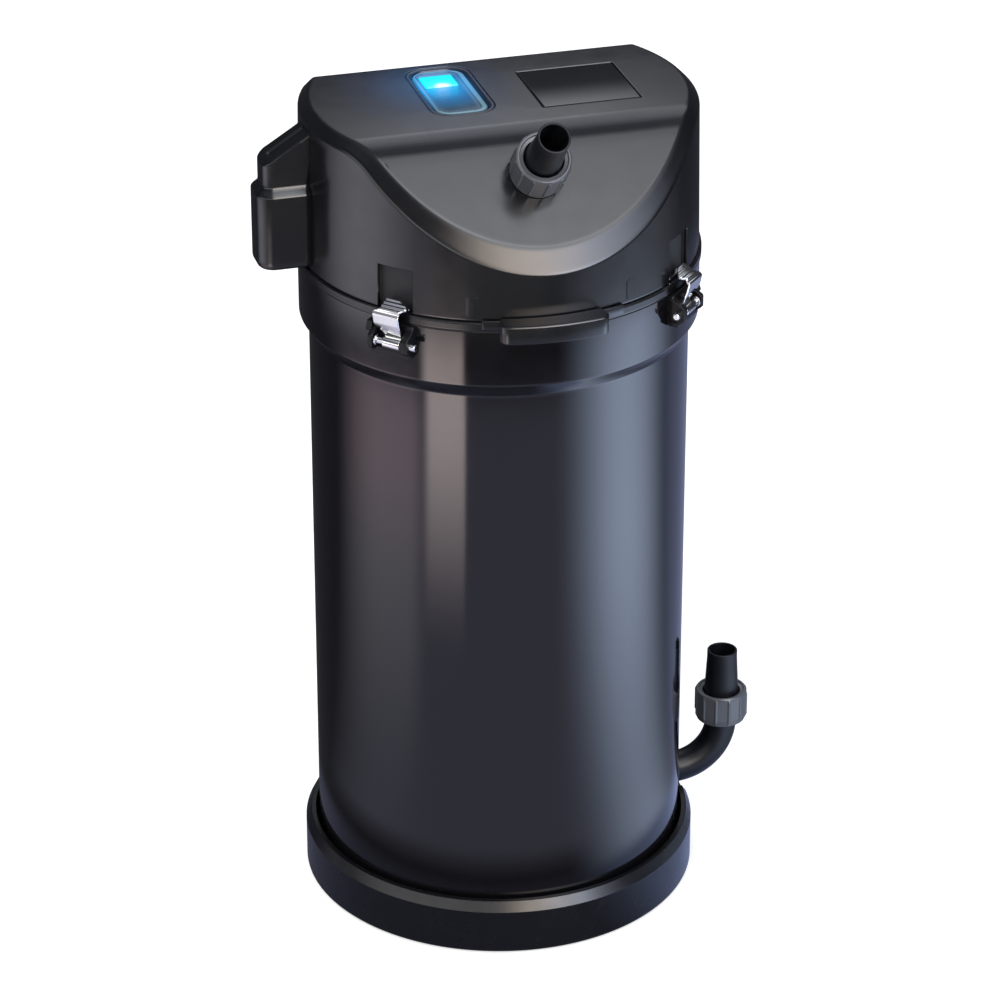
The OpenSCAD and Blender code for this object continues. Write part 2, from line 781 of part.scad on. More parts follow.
cover_t = 3;
cover_z = volute_z - cover_t;
intake_r = 8.5;
bush_r = 4;
bush_seat = 1;                  // floor under the lower bush and the shaft
hub_r = 5;
impeller_z = volute_z + 2.4;
blade_t = 2;
blade_h = 6.6;
disc_t = 1.5;
magnet_z = seam_z + 5;
core_h = 24;
core_z = seam_z + ledge_h;
core_in_r = well_in_r + well_wall + 0.2;
upper_bush_h = 4.5;
tooth_w = 5;
yoke_w = 4;
yoke_r = stator_r - yoke_w;
coil_w = 2;
coil_gap = 0.8;                 // from a coil to the well and to the yoke

module at_pump(z) {
    translate([0, pump_y, z]) children();
}

module impeller_cover() {
    color("#2a2c30") {
        difference() {
            translate([0, 0, cover_z]) linear_extrude(cover_t) volute_outline(volute_wall);
            at_pump(cover_z - eps) cylinder(r = intake_r, h = cover_t + 2 * eps, $fn = 64);
        }
        difference() {
            union() {
                at_pump(cover_z) cylinder(r = bush_r + 2, h = cover_t, $fn = 48);
                for (a = [0 : 120 : 240]) at_pump(cover_z) rotate([0, 0, a])
                    translate([0, -1.2, 0]) cube([intake_r + 1, 2.4, cover_t]);
            }
            at_pump(cover_z + bush_seat) cylinder(r = bush_r + fit, h = cover_t, $fn = 48);
        }
    }
}

module lower_bush() {
    color("#0f1013") at_pump(cover_z + bush_seat)
        tube(bush_r, shaft_r, impeller_z - cover_z - bush_seat - gap);
}

module upper_bush() {
    color("#0f1013") at_pump(well_top_z - upper_bush_h)
        tube(well_in_r - fit, shaft_r, upper_bush_h);
}

module pump_shaft() {
    color("#e7e2d6") at_pump(cover_z + bush_seat)
        cylinder(r = shaft_r, h = well_top_z - cover_z - bush_seat - 1, $fn = 48);
}

module impeller() {
    color("#cfd3d8") at_pump(impeller_z) difference() {
        union() {
            cylinder(r = hub_r, h = magnet_z - impeller_z - fit, $fn = 48);
            translate([0, 0, blade_h]) cylinder(r = impeller_r, h = disc_t, $fn = 64);
            for (a = [0 : 60 : 300]) rotate([0, 0, a]) translate([hub_r - 1, -blade_t / 2, 0])
                cube([impeller_r - hub_r, blade_t, blade_h + eps]);
        }
        translate([0, 0, -eps]) cylinder(r = shaft_r + run, h = far / 2, $fn = 48);
    }
}

module rotor_magnet() {
    color("#5a5d63") at_pump(magnet_z) tube(magnet_r, shaft_r + run, magnet_h);
}

module stator_core() {
    color("#8d9299") {
        at_pump(core_z) tube(stator_r, yoke_r, core_h);
        intersection() {
            at_pump(core_z) tube(yoke_r + 1, core_in_r, core_h);
            for (a = [0 : 60 : 300]) at_pump(core_z) rotate([0, 0, a])
                translate([0, -tooth_w / 2, 0]) cube([stator_r, tooth_w, core_h]);
        }
    }
}

module stator_coils() {
    coil_in = core_in_r + coil_gap;
    color("#b5652a") for (a = [0 : 60 : 300]) at_pump(core_z) rotate([0, 0, a]) difference() {
        translate([coil_in, -tooth_w / 2 - coil_w, -coil_w])
            cube([yoke_r - coil_in - coil_gap, tooth_w + 2 * coil_w, core_h + 2 * coil_w]);
        translate([0, -tooth_w / 2, 0]) cube([stator_r, tooth_w, core_h]);
    }
}

// ---- Outlet ----------------------------------------------------------------------------------

outlet_lift = 0.4;              // the nut's underside stands this far off the slope
ring_t = 2.2;                   // thickness of the O-ring
spigot_collar_t = 3;
spigot_collar_r = pipe_r + 3.6;

module outlet_spigot() {
    color("#17181b") difference() {
        union() {
            at_outlet(-spigot_end)
                cylinder(r = pipe_r, h = spigot_end + outlet_lift + tail_z, $fn = 64);
            at_outlet(-head_wall - ring_t - spigot_collar_t)
                cylinder(r = spigot_collar_r, h = spigot_collar_t, $fn = 64);
            at_outlet(outlet_lift) tail_solid();
        }
        at_outlet(-spigot_end - 1) cylinder(r = way_r, h = far, $fn = 64);
    }
}

module outlet_o_ring() {
    color("#0d0d0f") at_outlet(-head_wall - ring_t / 2) rotate_extrude($fn = 64)
        translate([pipe_r + ring_t / 2, 0]) circle(r = ring_t / 2 - fit, $fn = 32);
}

module outlet_nut() {
    color("#54565a") at_outlet(outlet_lift) clamping_nut();
}

// ---- Cable housing ---------------------------------------------------------------------------

box_x = collar_r + box_out;          // its outer face
box_wall = 2.2;
box_l = 60;                          // its blank, before the head's wall is cut away
box_shoulder = 5;                    // height of the slope between its lower and upper part
roof_drop = 8.4;                     // from the plateau down to its roof at the head's wall
roof_z = top_z - roof_drop;
roof_a = 32;                         // angle at which the roof falls outwards
gland_in = 9.5;                      // from its outer face to the gland
gland_x = box_x - gland_in;
gland_wall = 2;
gland_lip = 1.2;
gland_flange = 2;
gland_l = box_wall + gland_flange;

module box_outline(inset) {
    translate([-box_x + box_l / 2 + inset, 0])
        round_rect(box_l, box_w - 2 * inset, max(box_r - inset, 1));
}

// The housing's form at a depth t inside its surface
module box_form(t) {
    low_z = seam_z + box_low_h;
    intersection() {
        union() {
            translate([0, 0, seam_z + t]) linear_extrude(box_low_h - t) box_outline(t);
            hull() {
                translate([0, 0, low_z - eps]) linear_extrude(eps) box_outline(t);
                translate([0, 0, low_z + box_shoulder]) linear_extrude(eps) box_outline(box_step + t);
            }
            translate([0, 0, low_z + box_shoulder]) linear_extrude(head_h) box_outline(box_step + t);
        }
        translate([-wall_r, 0, roof_z - t]) rotate([0, -roof_a, 0])
            translate([-far / 2, -far / 2, -far]) cube([far, far, far]);
        translate([-far, -far / 2, 0]) cube([far - wall_r / 2, far, far * 3]);
    }
}

module cable_housing() {
    color("#1f2023") difference() {
        box_form(0);
        box_form(box_wall);
        translate([0, 0, seam_z])
            cylinder(r1 = wall_r + grip, r2 = wall_top_r + grip, h = head_h, $fn = 128);
        translate([0, 0, top_z - eps]) cylinder(r = wall_top_r, h = far, $fn = 128);
        translate([0, 0, seam_z - 1]) cylinder(r = flange_r + fit, h = 1.2, $fn = 128);
        translate([-gland_x, 0, seam_z - 1])
            cylinder(r = gland_r + gland_wall, h = box_wall + 2, $fn = 48);
    }
}

module cable_gland() {
    color("#0d0d0f") translate([-gland_x, 0, seam_z]) difference() {
        union() {
            cylinder(r = gland_r + gland_wall - fit, h = gland_l, $fn = 48);
            translate([0, 0, box_wall])
                cylinder(r = gland_r + gland_wall + gland_lip, h = gland_flange, $fn = 48);
        }
        translate([0, 0, -eps]) cylinder(r = gland_r, h = gland_l + 2 * eps, $fn = 48);
    }
}

// ---- Clips -----------------------------------------------------------------------------------
// Each is drawn at the front, and then turned to its place. The pin lies along X.

pin_y = collar_r + pin_out;
pin_z = rim_z - pin_drop;
knuckle_r = pin_r + lever_t;
cheek_t = 2.2;                            // of the cheek beside the wing
free_cheek_t = 3.4;                       // and of the one on the other side
cheek_x = lever_w / 2 + gap + 0.1;        // inner face of a cheek
cheek_out = pin_r + 1.1;                  // a cheek reaches this far beyond the pin's axis
cheek_low = 4.6;                          // and this far below it
cheek_high = 6;                           // and above it
wing_t = 2.2;
wing_low = 3;                             // the wing starts this far above the pin
wing_high = 7.4;                          // and ends this far above it
wing_out = 0.6;                           // it reaches this far beyond the pin's axis
pin_side = 0.2;                           // the pin ends this far inside the wing's side
ring_out = 0.9;                           // the retaining ring's rim stands this far off the pin
ring_w = 0.8;
ring_gap = 0.4;                           // from the ring to the cheek
bracket_back = 1.8;                       // thickness of the bracket's back plate
bracket_low = 6;                          // how far it reaches below the pin
bracket_high = 7.6;                       // and above it
sunk = 1;                                 // how deep a cheek's blank starts in the collar

module at_clip(c) {
    rotate([0, 0, c[0]]) children();
}

module at_pin() {
    translate([0, -pin_y, pin_z]) rotate([0, 90, 0]) children();
}

module bracket(c) {
    wing_side = cheek_x + cheek_t;
    free_side = cheek_x + free_cheek_t;
    left = c[1] > 0 ? free_side : wing_side;
    color("#121316") at_clip(c) difference() {
        union() {
            translate([-left, -collar_r - bracket_back, pin_z - bracket_low])
                cube([wing_side + free_side, 2 * bracket_back, bracket_low + bracket_high]);
            translate([-left, -pin_y, pin_z - bracket_low])
                cube([wing_side + free_side, pin_out, bracket_low - knuckle_r - gap]);
            translate([c[1] * (cheek_x + cheek_t / 2), 0, 0]) cheek(cheek_t);
            translate([-c[1] * (cheek_x + free_cheek_t / 2), 0, 0]) cheek(free_cheek_t);
            translate([c[1] * (wing_side + wing_t / 2), 0, 0]) wing_cheek();
        }
        cylinder(r = collar_r, h = far * 2, $fn = 128);
        at_pin() cylinder(r = pin_r, h = far / 2, center = true, $fn = 48);
    }
}

module side_plate(t, side_view) {
    translate([t / 2, 0, 0]) rotate([0, -90, 0]) linear_extrude(t) polygon(side_view);
}

module cheek(t) {
    side_plate(t, [
        [pin_z - cheek_low, -collar_r + sunk], [pin_z - cheek_low, -pin_y],
        [pin_z - cheek_out, -pin_y - cheek_out], [pin_z + cheek_out, -pin_y - cheek_out],
        [pin_z + cheek_high, -collar_r - 1.4], [pin_z + cheek_high, -collar_r + sunk]]);
}

// One cheek spreads into a wing, which guards the lever's upper corner
module wing_cheek() {
    side_plate(wing_t, [
        [pin_z + wing_low, -collar_r + sunk], [pin_z + wing_low, -pin_y - wing_out],
        [pin_z + wing_high, -pin_y + 1], [pin_z + wing_high, -collar_r + sunk]]);
}

// The pin ends in the wing's side and stands out on the other side. A ring keeps the lever's foot
// at its place between the cheeks.
module clip_pin(c) {
    middle = pin_l / 2 - cheek_x - cheek_t + pin_side;
    color("#c9ccd1") at_clip(c) at_pin() {
        translate([0, 0, -c[1] * middle]) cylinder(r = pin_r, h = pin_l, center = true, $fn = 48);
        translate([0, 0, c[1] * (cheek_x - ring_gap - ring_w / 2)])
            cylinder(r = pin_r + ring_out, h = ring_w, center = true, $fn = 48);
    }
}

hook_z = seam_z + gap;                     // underside of the hook, over the flange
hook_in = wall_r - pocket_d + 0.9;         // how far in the hook reaches
hook_tip = 4;                              // height of the hook's inner end
plate_out = 3.4;                           // the plate leans out this far beyond the pin
plate_top = pin_y + plate_out;
plate_foot = pin_y + 1.7;                  // the plate's outer face, where it leaves the knuckle
lever_taper = 4;                           // the lever is this much narrower at its foot
lever_foot = 4;                            // up to this height above the pin
lever_waist = 8.5;                         // and has its full width from here on

// Side view of the lever: [y, z] points of a bent strip of spring steel, outwards is -y
function lever_side() = [
    [-plate_foot, pin_z], [-plate_top, hook_z + 0.4], [-plate_top, hook_z + 2.2],
    [-hook_in - 2, hook_z + hook_tip + 1.2], [-hook_in, hook_z + hook_tip], [-hook_in, hook_z],
    [-hook_in - lever_t, hook_z], [-hook_in - lever_t - 0.6, hook_z + 2.4],
    [-plate_top + lever_t, hook_z + 0.9], [-plate_top + lever_t, hook_z - 0.4],
    [-plate_foot + lever_t, pin_z]];

// Front view of the lever, narrow at its foot on the side of the wing
function lever_front(wing) = let (
        w = lever_w / 2,
        left = wing < 0 ? lever_taper - w : -w,
        right = wing > 0 ? w - lever_taper : w)
    [[-w, top_z], [w, top_z], [w, pin_z + lever_waist], [right, pin_z + lever_foot],
     [right, pin_z - 1], [left, pin_z - 1], [left, pin_z + lever_foot], [-w, pin_z + lever_waist]];

module clip_lever(c) {
    color("#dfe3e8") at_clip(c) difference() {
        union() {
            at_pin() translate([0, 0, -c[1] * lever_taper / 2])
                cylinder(r = knuckle_r, h = lever_w - lever_taper, center = true, $fn = 48);
            intersection() {
                rotate([90, 0, 90]) linear_extrude(lever_w, center = true) polygon(lever_side());
                rotate([90, 0, 0]) linear_extrude(far) polygon(lever_front(c[1]));
            }
        }
        at_pin() cylinder(r = pin_r + run, h = far, center = true, $fn = 48);
    }
}

// ---- Assembly --------------------------------------------------------------------------------

base_ring();
canister();
inlet_grommet();
inlet_elbow();
inlet_retainer();
inlet_nut();
lower_screen();
media_rings();
coarse_pad();
media_bed();
fine_pad();
upper_screen();
bracket(FL);  // clip_bracket_front_left
bracket(FR);  // clip_bracket_front_right
bracket(RL);  // clip_bracket_rear_left
bracket(RR);  // clip_bracket_rear_right
clip_pin(FL);  // clip_pin_front_left
clip_pin(FR);  // clip_pin_front_right
clip_pin(RL);  // clip_pin_rear_left
clip_pin(RR);  // clip_pin_rear_right
clip_lever(FL);  // clip_lever_front_left
clip_lever(FR);  // clip_lever_front_right
clip_lever(RL);  // clip_lever_rear_left
clip_lever(RR);  // clip_lever_rear_right
head_base();
head_gasket();
head_housing();
head_screws();
cable_housing();
cable_gland();
impeller_cover();
impeller();
rotor_magnet();
pump_shaft();
lower_bush();
upper_bush();
stator_core();
stator_coils();
control_board();
board_parts();
button_bezel();
button_cap();
light_window();
panel_inlay();
outlet_spigot();
outlet_o_ring();
outlet_nut();
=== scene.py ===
# %% [markdown]
# # An external canister filter
# This lesson dresses the CAD model of a canister filter for an aquarium: a tall glossy canister on
# a low base ring, under a pump head with a sloping front. The CAD model gives every piece its
# place and its size, and it opens here as a fixed frame. Blender adds the looks: roundings that
# catch the light, ribs, ridges and finishes. Everything is drawn in millimetres and turned into
# metres once, where a mesh is made.

# %% Load the frame
import json

import bmesh
import bpy
import numpy as np
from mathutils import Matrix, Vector
from mathutils.geometry import delaunay_2d_cdt

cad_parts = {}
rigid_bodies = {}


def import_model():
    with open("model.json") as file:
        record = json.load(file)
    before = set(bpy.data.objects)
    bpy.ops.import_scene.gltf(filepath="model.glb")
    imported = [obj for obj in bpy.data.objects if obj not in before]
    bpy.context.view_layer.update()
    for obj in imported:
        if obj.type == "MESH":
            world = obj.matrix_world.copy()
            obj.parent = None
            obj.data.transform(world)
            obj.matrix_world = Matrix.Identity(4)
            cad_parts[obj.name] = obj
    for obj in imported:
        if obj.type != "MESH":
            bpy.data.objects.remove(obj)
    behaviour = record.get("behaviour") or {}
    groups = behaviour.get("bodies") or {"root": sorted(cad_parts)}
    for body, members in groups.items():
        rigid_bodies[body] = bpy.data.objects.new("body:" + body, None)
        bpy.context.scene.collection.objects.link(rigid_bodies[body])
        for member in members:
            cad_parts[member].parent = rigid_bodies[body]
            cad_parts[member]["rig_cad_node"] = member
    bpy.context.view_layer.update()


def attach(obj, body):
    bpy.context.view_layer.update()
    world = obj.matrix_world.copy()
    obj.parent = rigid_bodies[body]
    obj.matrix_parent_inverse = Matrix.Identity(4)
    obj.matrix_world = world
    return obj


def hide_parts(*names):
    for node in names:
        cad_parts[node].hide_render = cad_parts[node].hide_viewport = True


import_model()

# %% [markdown]
# ## The camera
# The camera looks down at the filter from the front left. A long lens at almost two metres keeps
# the upright edges nearly parallel, as a catalogue shows such a thing. The camera is placed by a
# distance, an azimuth and an elevation, because these three say what the view is, and the same
# function will aim the lamps.

# %% Aim the camera
scene = bpy.context.scene
scene.view_settings.view_transform = "Standard"


def aim(thing, target, distance, azimuth, elevation):
    """Puts a thing at a distance from the target and turns its -Z axis back to it. Azimuth 0 is
    in front, along -Y, and grows to the right."""
    a, e = np.radians((azimuth, elevation))
    out = Vector((np.sin(a) * np.cos(e), -np.cos(a) * np.cos(e), np.sin(e)))
    thing.location = Vector(target) + distance * out
    thing.rotation_mode = "QUATERNION"
    thing.rotation_quaternion = (-out).to_track_quat("-Z", "Y")


camera = bpy.data.objects.new("camera", bpy.data.cameras.new("camera"))
scene.collection.objects.link(camera)
camera.data.sensor_width = 36
camera.data.lens = 151.2
camera.data.shift_x = 0.0014
view_azimuth, view_elevation = -16, 27.03
aimed_height, camera_distance = 0.1755, 1.8112
aim(camera, (0, 0, aimed_height), camera_distance, view_azimuth, view_elevation)
scene.camera = camera
print("camera at", [round(c, 3) for c in camera.location])

# %% [markdown]
# ## Small tools for materials
# Colours are written as sRGB hex values, as a paint chart gives them, and one function turns them
# to the linear values that the shader works in. One more function adds a node with its settings
# and its links. A few short ones say what nearly every material does: it takes noise of a real
# size, and lets it vary the colour, the roughness or the relief. So a material reads like a recipe.

# %% Colours and nodes


def linear(colour):
    """Linear RGBA of an sRGB hex value: c / 12.92 up to 0.04045, and ((c + 0.055) / 1.055) to the
    power 2.4 above it."""
    c = np.array([int(colour[i:i + 2], 16) for i in (1, 3, 5)]) / 255
    c = np.where(c <= 0.04045, c / 12.92, ((c + 0.055) / 1.055) ** 2.4)
    return (*c.tolist(), 1.0)


def add(tree, kind, inputs=None, **settings):
    """Adds a node. Its settings are set, and each input gets a value or a link from a socket."""
    made = tree.nodes.new("ShaderNode" + kind)
    for key, value in settings.items():
        setattr(made, key, value)
    for key, value in (inputs or {}).items():
        if isinstance(value, bpy.types.NodeSocket):
            tree.links.new(value, made.inputs[key])
        else:
            made.inputs[key].default_value = value
    return made


def new_material(name, **sockets):
    """A material with an empty Principled shader, whose sockets are set by their names."""
    material = bpy.data.materials.new(name)
    material.use_nodes = True
    tree = material.node_tree
    shader = tree.nodes["Principled BSDF"]
    for key, value in sockets.items():
        shader.inputs[key.replace("_", " ")].default_value = value
    return material, tree, shader


def place_on(tree):
    """The place of a surface point on its piece in metres, as a socket."""
    return add(tree, "TexCoord").outputs["Object"]


def calculate(tree, operation, *values):
    """One step of arithmetic, as a socket."""
    return add(tree, "Math", dict(enumerate(values)), operation=operation).outputs[0]


def noise(tree, place, size, detail):
    """Noise whose features have a size in millimetres, as a socket."""
    return add(tree, "TexNoise", {"Vector": place, "Scale": 1000 / size, "Detail": detail}).outputs[0]


def mixed(tree, amount, colour, other):
    """A colour between two sRGB hex values or sockets, as a socket."""
    ends = [linear(c) if isinstance(c, str) else c for c in (colour, other)]
    return add(tree, "Mix", {0: amount, 6: ends[0], 7: ends[1]}, data_type="RGBA").outputs[2]


def feed(tree, socket, value):
    """Links a value to one of the Principled shader's sockets."""
    tree.links.new(value, tree.nodes["Principled BSDF"].inputs[socket])


def roughen(tree, amount, low, high):
    """Roughness that goes from low to high while the noise goes from 0.3 to 0.7."""
    rough = add(tree, "MapRange", {"Value": amount, 1: 0.3, 2: 0.7, 3: low, 4: high})
    feed(tree, "Roughness", rough.outputs[0])


def emboss(tree, amount, depth):
    """A relief with a depth in millimetres."""
    relief = add(tree, "Bump", {"Height": amount, "Distance": depth / 1000, "Strength": 1.0})
    feed(tree, "Normal", relief.outputs[0])


print("graphite as linear:", [round(c, 4) for c in linear("#232427")])

# %% [markdown]
# ## Small tools for shapes
# Nearly every piece here is turned, extruded or swept, so it is one grid of points: rows of a
# profile, carried round a circle or along a path. A grid is worked out as one numpy array, and
# two functions turn any number of grids into a mesh. Sharp corners never catch light, so a third
# function rounds a polyline's corners with arcs. It also puts a point a little way down each
# straight, which keeps the flat beside a rounding looking flat.

# %% Rounded profiles and grids


def soften(points, radii, steps=5, hold=0.6, closed=False):
    """Rounds a polyline's corners. At a corner with the opening angle t, an arc of radius r starts
    r / tan(t / 2) before it, and its centre lies r / sin(t / 2) from it along the bisector. A
    point of the arc is the slerp of its two end spokes."""
    p = np.asarray(points, float)
    r = np.broadcast_to(np.asarray(radii, float), len(p)).copy()
    if not closed:
        r[[0, -1]] = 0
    a, b = np.roll(p, 1, 0) - p, np.roll(p, -1, 0) - p
    a /= np.linalg.norm(a, axis=1, keepdims=True) + 1e-12
    b /= np.linalg.norm(b, axis=1, keepdims=True) + 1e-12
    opening = np.arccos(np.clip((a * b).sum(1), -1, 1))
    turn = np.maximum(np.pi - opening, 1e-6)
    reach = r * np.tan(turn / 2)
    middle = a + b
    middle /= np.linalg.norm(middle, axis=1, keepdims=True) + 1e-12
    centre = p + middle * (r / np.cos(turn / 2))[:, None]
    first, last = p + a * reach[:, None] - centre, p + b * reach[:, None] - centre
    s = np.linspace(0, 1, steps + 1)[None, :, None]
    t = turn[:, None, None]
    spokes = np.sin((1 - s) * t) * first[:, None] + np.sin(s * t) * last[:, None]
    arc = centre[:, None] + spokes / np.sin(t)
    out = (reach + hold * r)[:, None]
    rows = np.concatenate([(p + a * out)[:, None], arc, (p + b * out)[:, None]], 1).reshape(-1, 2)
    step = np.linalg.norm(rows - np.roll(rows, 1, 0), axis=1)
    keep = step > 1e-5
    keep[0] = keep[0] or not closed
    return rows[keep]


def grid(points, wrap_rows=False, wrap_columns=True, caps=False):
    """Vertices and faces of a grid: each quad joins a point to the next one in its row and in the
    next row. Caps close the first and the last row with one face each."""
    rows, columns = points.shape[:2]
    i = np.arange(rows if wrap_rows else rows - 1)[:, None] + 0 * np.arange(columns)[None, :]
    j = np.arange(columns)[None, :] + 0 * i
    if not wrap_columns:
        i, j = i[:, :-1], j[:, :-1]
    below, right = (i + 1) % rows, (j + 1) % columns
    quads = np.stack([i * columns + j, i * columns + right,
                      below * columns + right, below * columns + j], -1).reshape(-1, 4).tolist()
    if caps:
        quads += [list(range(columns))[::-1], list(range((rows - 1) * columns, rows * columns))]
    return points.reshape(-1, 3), quads


def revolve(profile, around):
    """A profile of (radius, height) points turned about Z: (r cos a, r sin a, h). Around is the
    number of columns, or the angles at which they stand."""
    a = np.linspace(0, 2 * np.pi, around, endpoint=False) if np.isscalar(around) else around
    r, h = np.asarray(profile).T
    return np.stack([r[:, None] * np.cos(a), r[:, None] * np.sin(a), h[:, None] + 0 * a], -1)


def turned(points, axis, angle, at=(0, 0, 0)):
    """Points turned by an angle in degrees about the axis 0, 1 or 2, and then moved."""
    c, s = np.cos(np.radians(angle)), np.sin(np.radians(angle))
    j, k = (axis + 1) % 3, (axis + 2) % 3
    out = np.array(points, float)
    out[..., j] = c * points[..., j] - s * points[..., k]
    out[..., k] = s * points[..., j] + c * points[..., k]
    return out + np.asarray(at, float)


print("a rounded corner has", len(soften([[0, 0], [10, 0], [10, 10]], 2)) - 2, "points")

# %% [markdown]
# A piece is made in one place. Its grids are joined, their shared edges and poles are welded, and
# the faces are turned outwards. It is shaded smooth, except where two faces meet at more than a
# given angle. Then it is tied to its CAD body, and the CAD nodes that it stands for are hidden. Two
# large mouldings are drawn as a skin only, and get their wall from a modifier.

# %% Pieces


weld_within = 2e-6  # metres


def make_piece(name, surfaces, material, body, stands_for=(), sharp=34, quiet=False):
    """Joins surfaces, each given as vertices in millimetres and faces, into one object."""
    vertices = np.concatenate([v for v, _ in surfaces]) / 1000
    starts = np.cumsum([0] + [len(v) for v, _ in surfaces[:-1]])
    faces = [[k + int(start) for k in face]
             for start, (_, group) in zip(starts, surfaces) for face in group]
    mesh = bpy.data.meshes.new(name)
    mesh.from_pydata(vertices, [], faces)
    shell = bmesh.new()
    shell.from_mesh(mesh)
    bmesh.ops.remove_doubles(shell, verts=shell.verts, dist=weld_within)
    bmesh.ops.recalc_face_normals(shell, faces=shell.faces)
    shell.to_mesh(mesh)
    shell.free()
    mesh.shade_smooth()
    mesh.set_sharp_from_angle(angle=np.radians(sharp))
    piece = bpy.data.objects.new(name, mesh)
    scene.collection.objects.link(piece)
    mesh.materials.append(material)
    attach(piece, body)
    if stands_for:
        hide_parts(*stands_for)
    if not quiet:
        size = np.ptp(vertices, axis=0) * 1000
        print(f"{name}: {len(mesh.polygons)} faces, {size[0]:.1f} x {size[1]:.1f} x {size[2]:.1f} mm")
    return piece


def thicken(piece, wall):
    """Gives a skin a wall of so many millimetres, on its inner side."""
    shell = piece.modifiers.new("wall", "SOLIDIFY")
    shell.thickness, shell.offset = wall / 1000, -1


print("points closer than", weld_within * 1000, "mm are welded")

# %% [markdown]
# ## The studio
# The filter stands on a pale floor under soft light. The white round it comes from Light Path:
# rays from the camera, and those that leave gloss or glass, meet a white of strength 1, while the
# light that falls on the filter stays at a plain level. The floor is lit by the lamps as well, so
# it keeps the shadow.

# %% Floor and world
world = bpy.data.worlds.new("white studio")
world.use_nodes = True
scene.world = world
sky = world.node_tree
sky.nodes.clear()


def seen_directly(tree):
    """1 for rays from the camera, from gloss and through glass, and 0 for the rest."""
    path = add(tree, "LightPath").outputs
    either = calculate(tree, "MAXIMUM", path["Is Camera Ray"], path["Is Glossy Ray"])
    return calculate(tree, "MAXIMUM", either, path["Is Transmission Ray"])


def studio_material(name):
    """A material without a shader, and its empty node tree."""
    material = bpy.data.materials.new(name)
    material.use_nodes = True
    material.node_tree.nodes.clear()
    return material, material.node_tree


def studio_object(name, points, material, drop=0.0):
    """A grid of points in millimetres as an object of the studio, lowered by so many metres."""
    mesh = bpy.data.meshes.new(name)
    vertices, faces = grid(points)
    mesh.from_pydata(vertices / 1000 - [0, 0, drop], [], faces)
    mesh.materials.append(material)
    thing = bpy.data.objects.new(name, mesh)
    scene.collection.objects.link(thing)
    return thing


white = add(sky, "Background", {"Color": linear("#ffffff"), "Strength": 1.0})
fill = add(sky, "Background", {"Color": linear("#f4f6fa"), "Strength": 0.5})
both = add(sky, "MixShader", {0: seen_directly(sky), 1: fill.outputs[0], 2: white.outputs[0]})
add(sky, "OutputWorld", {"Surface": both.outputs[0]})

floor_material, tree = studio_material("pale floor")
paint = add(tree, "BsdfDiffuse", {"Color": linear("#d9d9d9")})
glow = add(tree, "Emission", {"Color": linear("#ffffff"), "Strength": 0.55})
lit = add(tree, "AddShader", {0: paint.outputs[0], 1: glow.outputs[0]})
floor_mix = add(tree, "MixShader", {0: seen_directly(tree), 1: paint.outputs[0], 2: lit.outputs[0]})
add(tree, "OutputMaterial", {"Surface": floor_mix.outputs[0]})

floor_points = revolve([[0, 0], [400, 0], [2000, 0], [9000, 0]], 96)
floor = studio_object("floor", floor_points, floor_material, drop=0.0004)
print("the floor is", round(floor.dimensions.x), "m across")

# %% [markdown]
# Dark glossy plastic has hardly any colour of its own: what one sees is the room in it. In a
# studio, light cards and black cloth stand round such an object until its shape reads. Here they
# are one tent, a surface of revolution: a mat on the floor that sweeps up into a dome. Walls that
# are seen from above mirror the mat, the slope mirrors the dome over the camera, and the plateau
# mirrors the low dome behind. The tent's light is a formula of the azimuth and, on the mat, of
# the reach from the filter's axis, and on the dome of the elevation. Only glossy rays see it, so
# it doesn't light the object or shade the floor.

# %% The tent of cards


def resampled(path, spacing):
    """A polyline's points at equal steps of its length, with its own corners kept."""
    length = np.concatenate([[0], np.cumsum(np.linalg.norm(np.diff(path, axis=0), axis=1))])
    at = np.union1d(np.round(length, 4), np.round(np.arange(0, length[-1], spacing), 4))
    return np.stack([np.interp(at, length, path[:, k]) for k in (0, 1)], 1), at


def smooth(x, start, end):
    """0 before the start, 1 after the end, and 3 t^2 - 2 t^3 between them."""
    t = np.clip((x - start) / (end - start), 0, 1)
    return t * t * (3 - 2 * t)


def span(x, a, b, c, d):
    """A bar with soft ends: it rises from 0 to 1 between a and b, and falls back between c and d."""
    return smooth(x, a, b) * (1 - smooth(x, c, d))


tent_outline = soften([[60, 0.2], [1500, 0.2], [1500, 2300], [0, 2300]], [0, 700, 900, 0], 48, 0)
tent_points = revolve(resampled(tent_outline, 12)[0], 480)
flat = tent_points.reshape(-1, 3)
azimuth = (np.degrees(np.arctan2(flat[:, 0], -flat[:, 1])) - view_azimuth + 180) % 360 - 180
reach = np.hypot(flat[:, 0], flat[:, 1])
middle_height = 200
elevation = np.degrees(np.arctan2(flat[:, 2] - middle_height, reach))
# The dome closes over the axis, where the reach is small again. So above the mat it counts as far
# away, or the mat's cards would hang overhead a second time.
mat_height, far_away = 700, 1e4
mat_reach = np.where(flat[:, 2] < mat_height, reach, far_away)

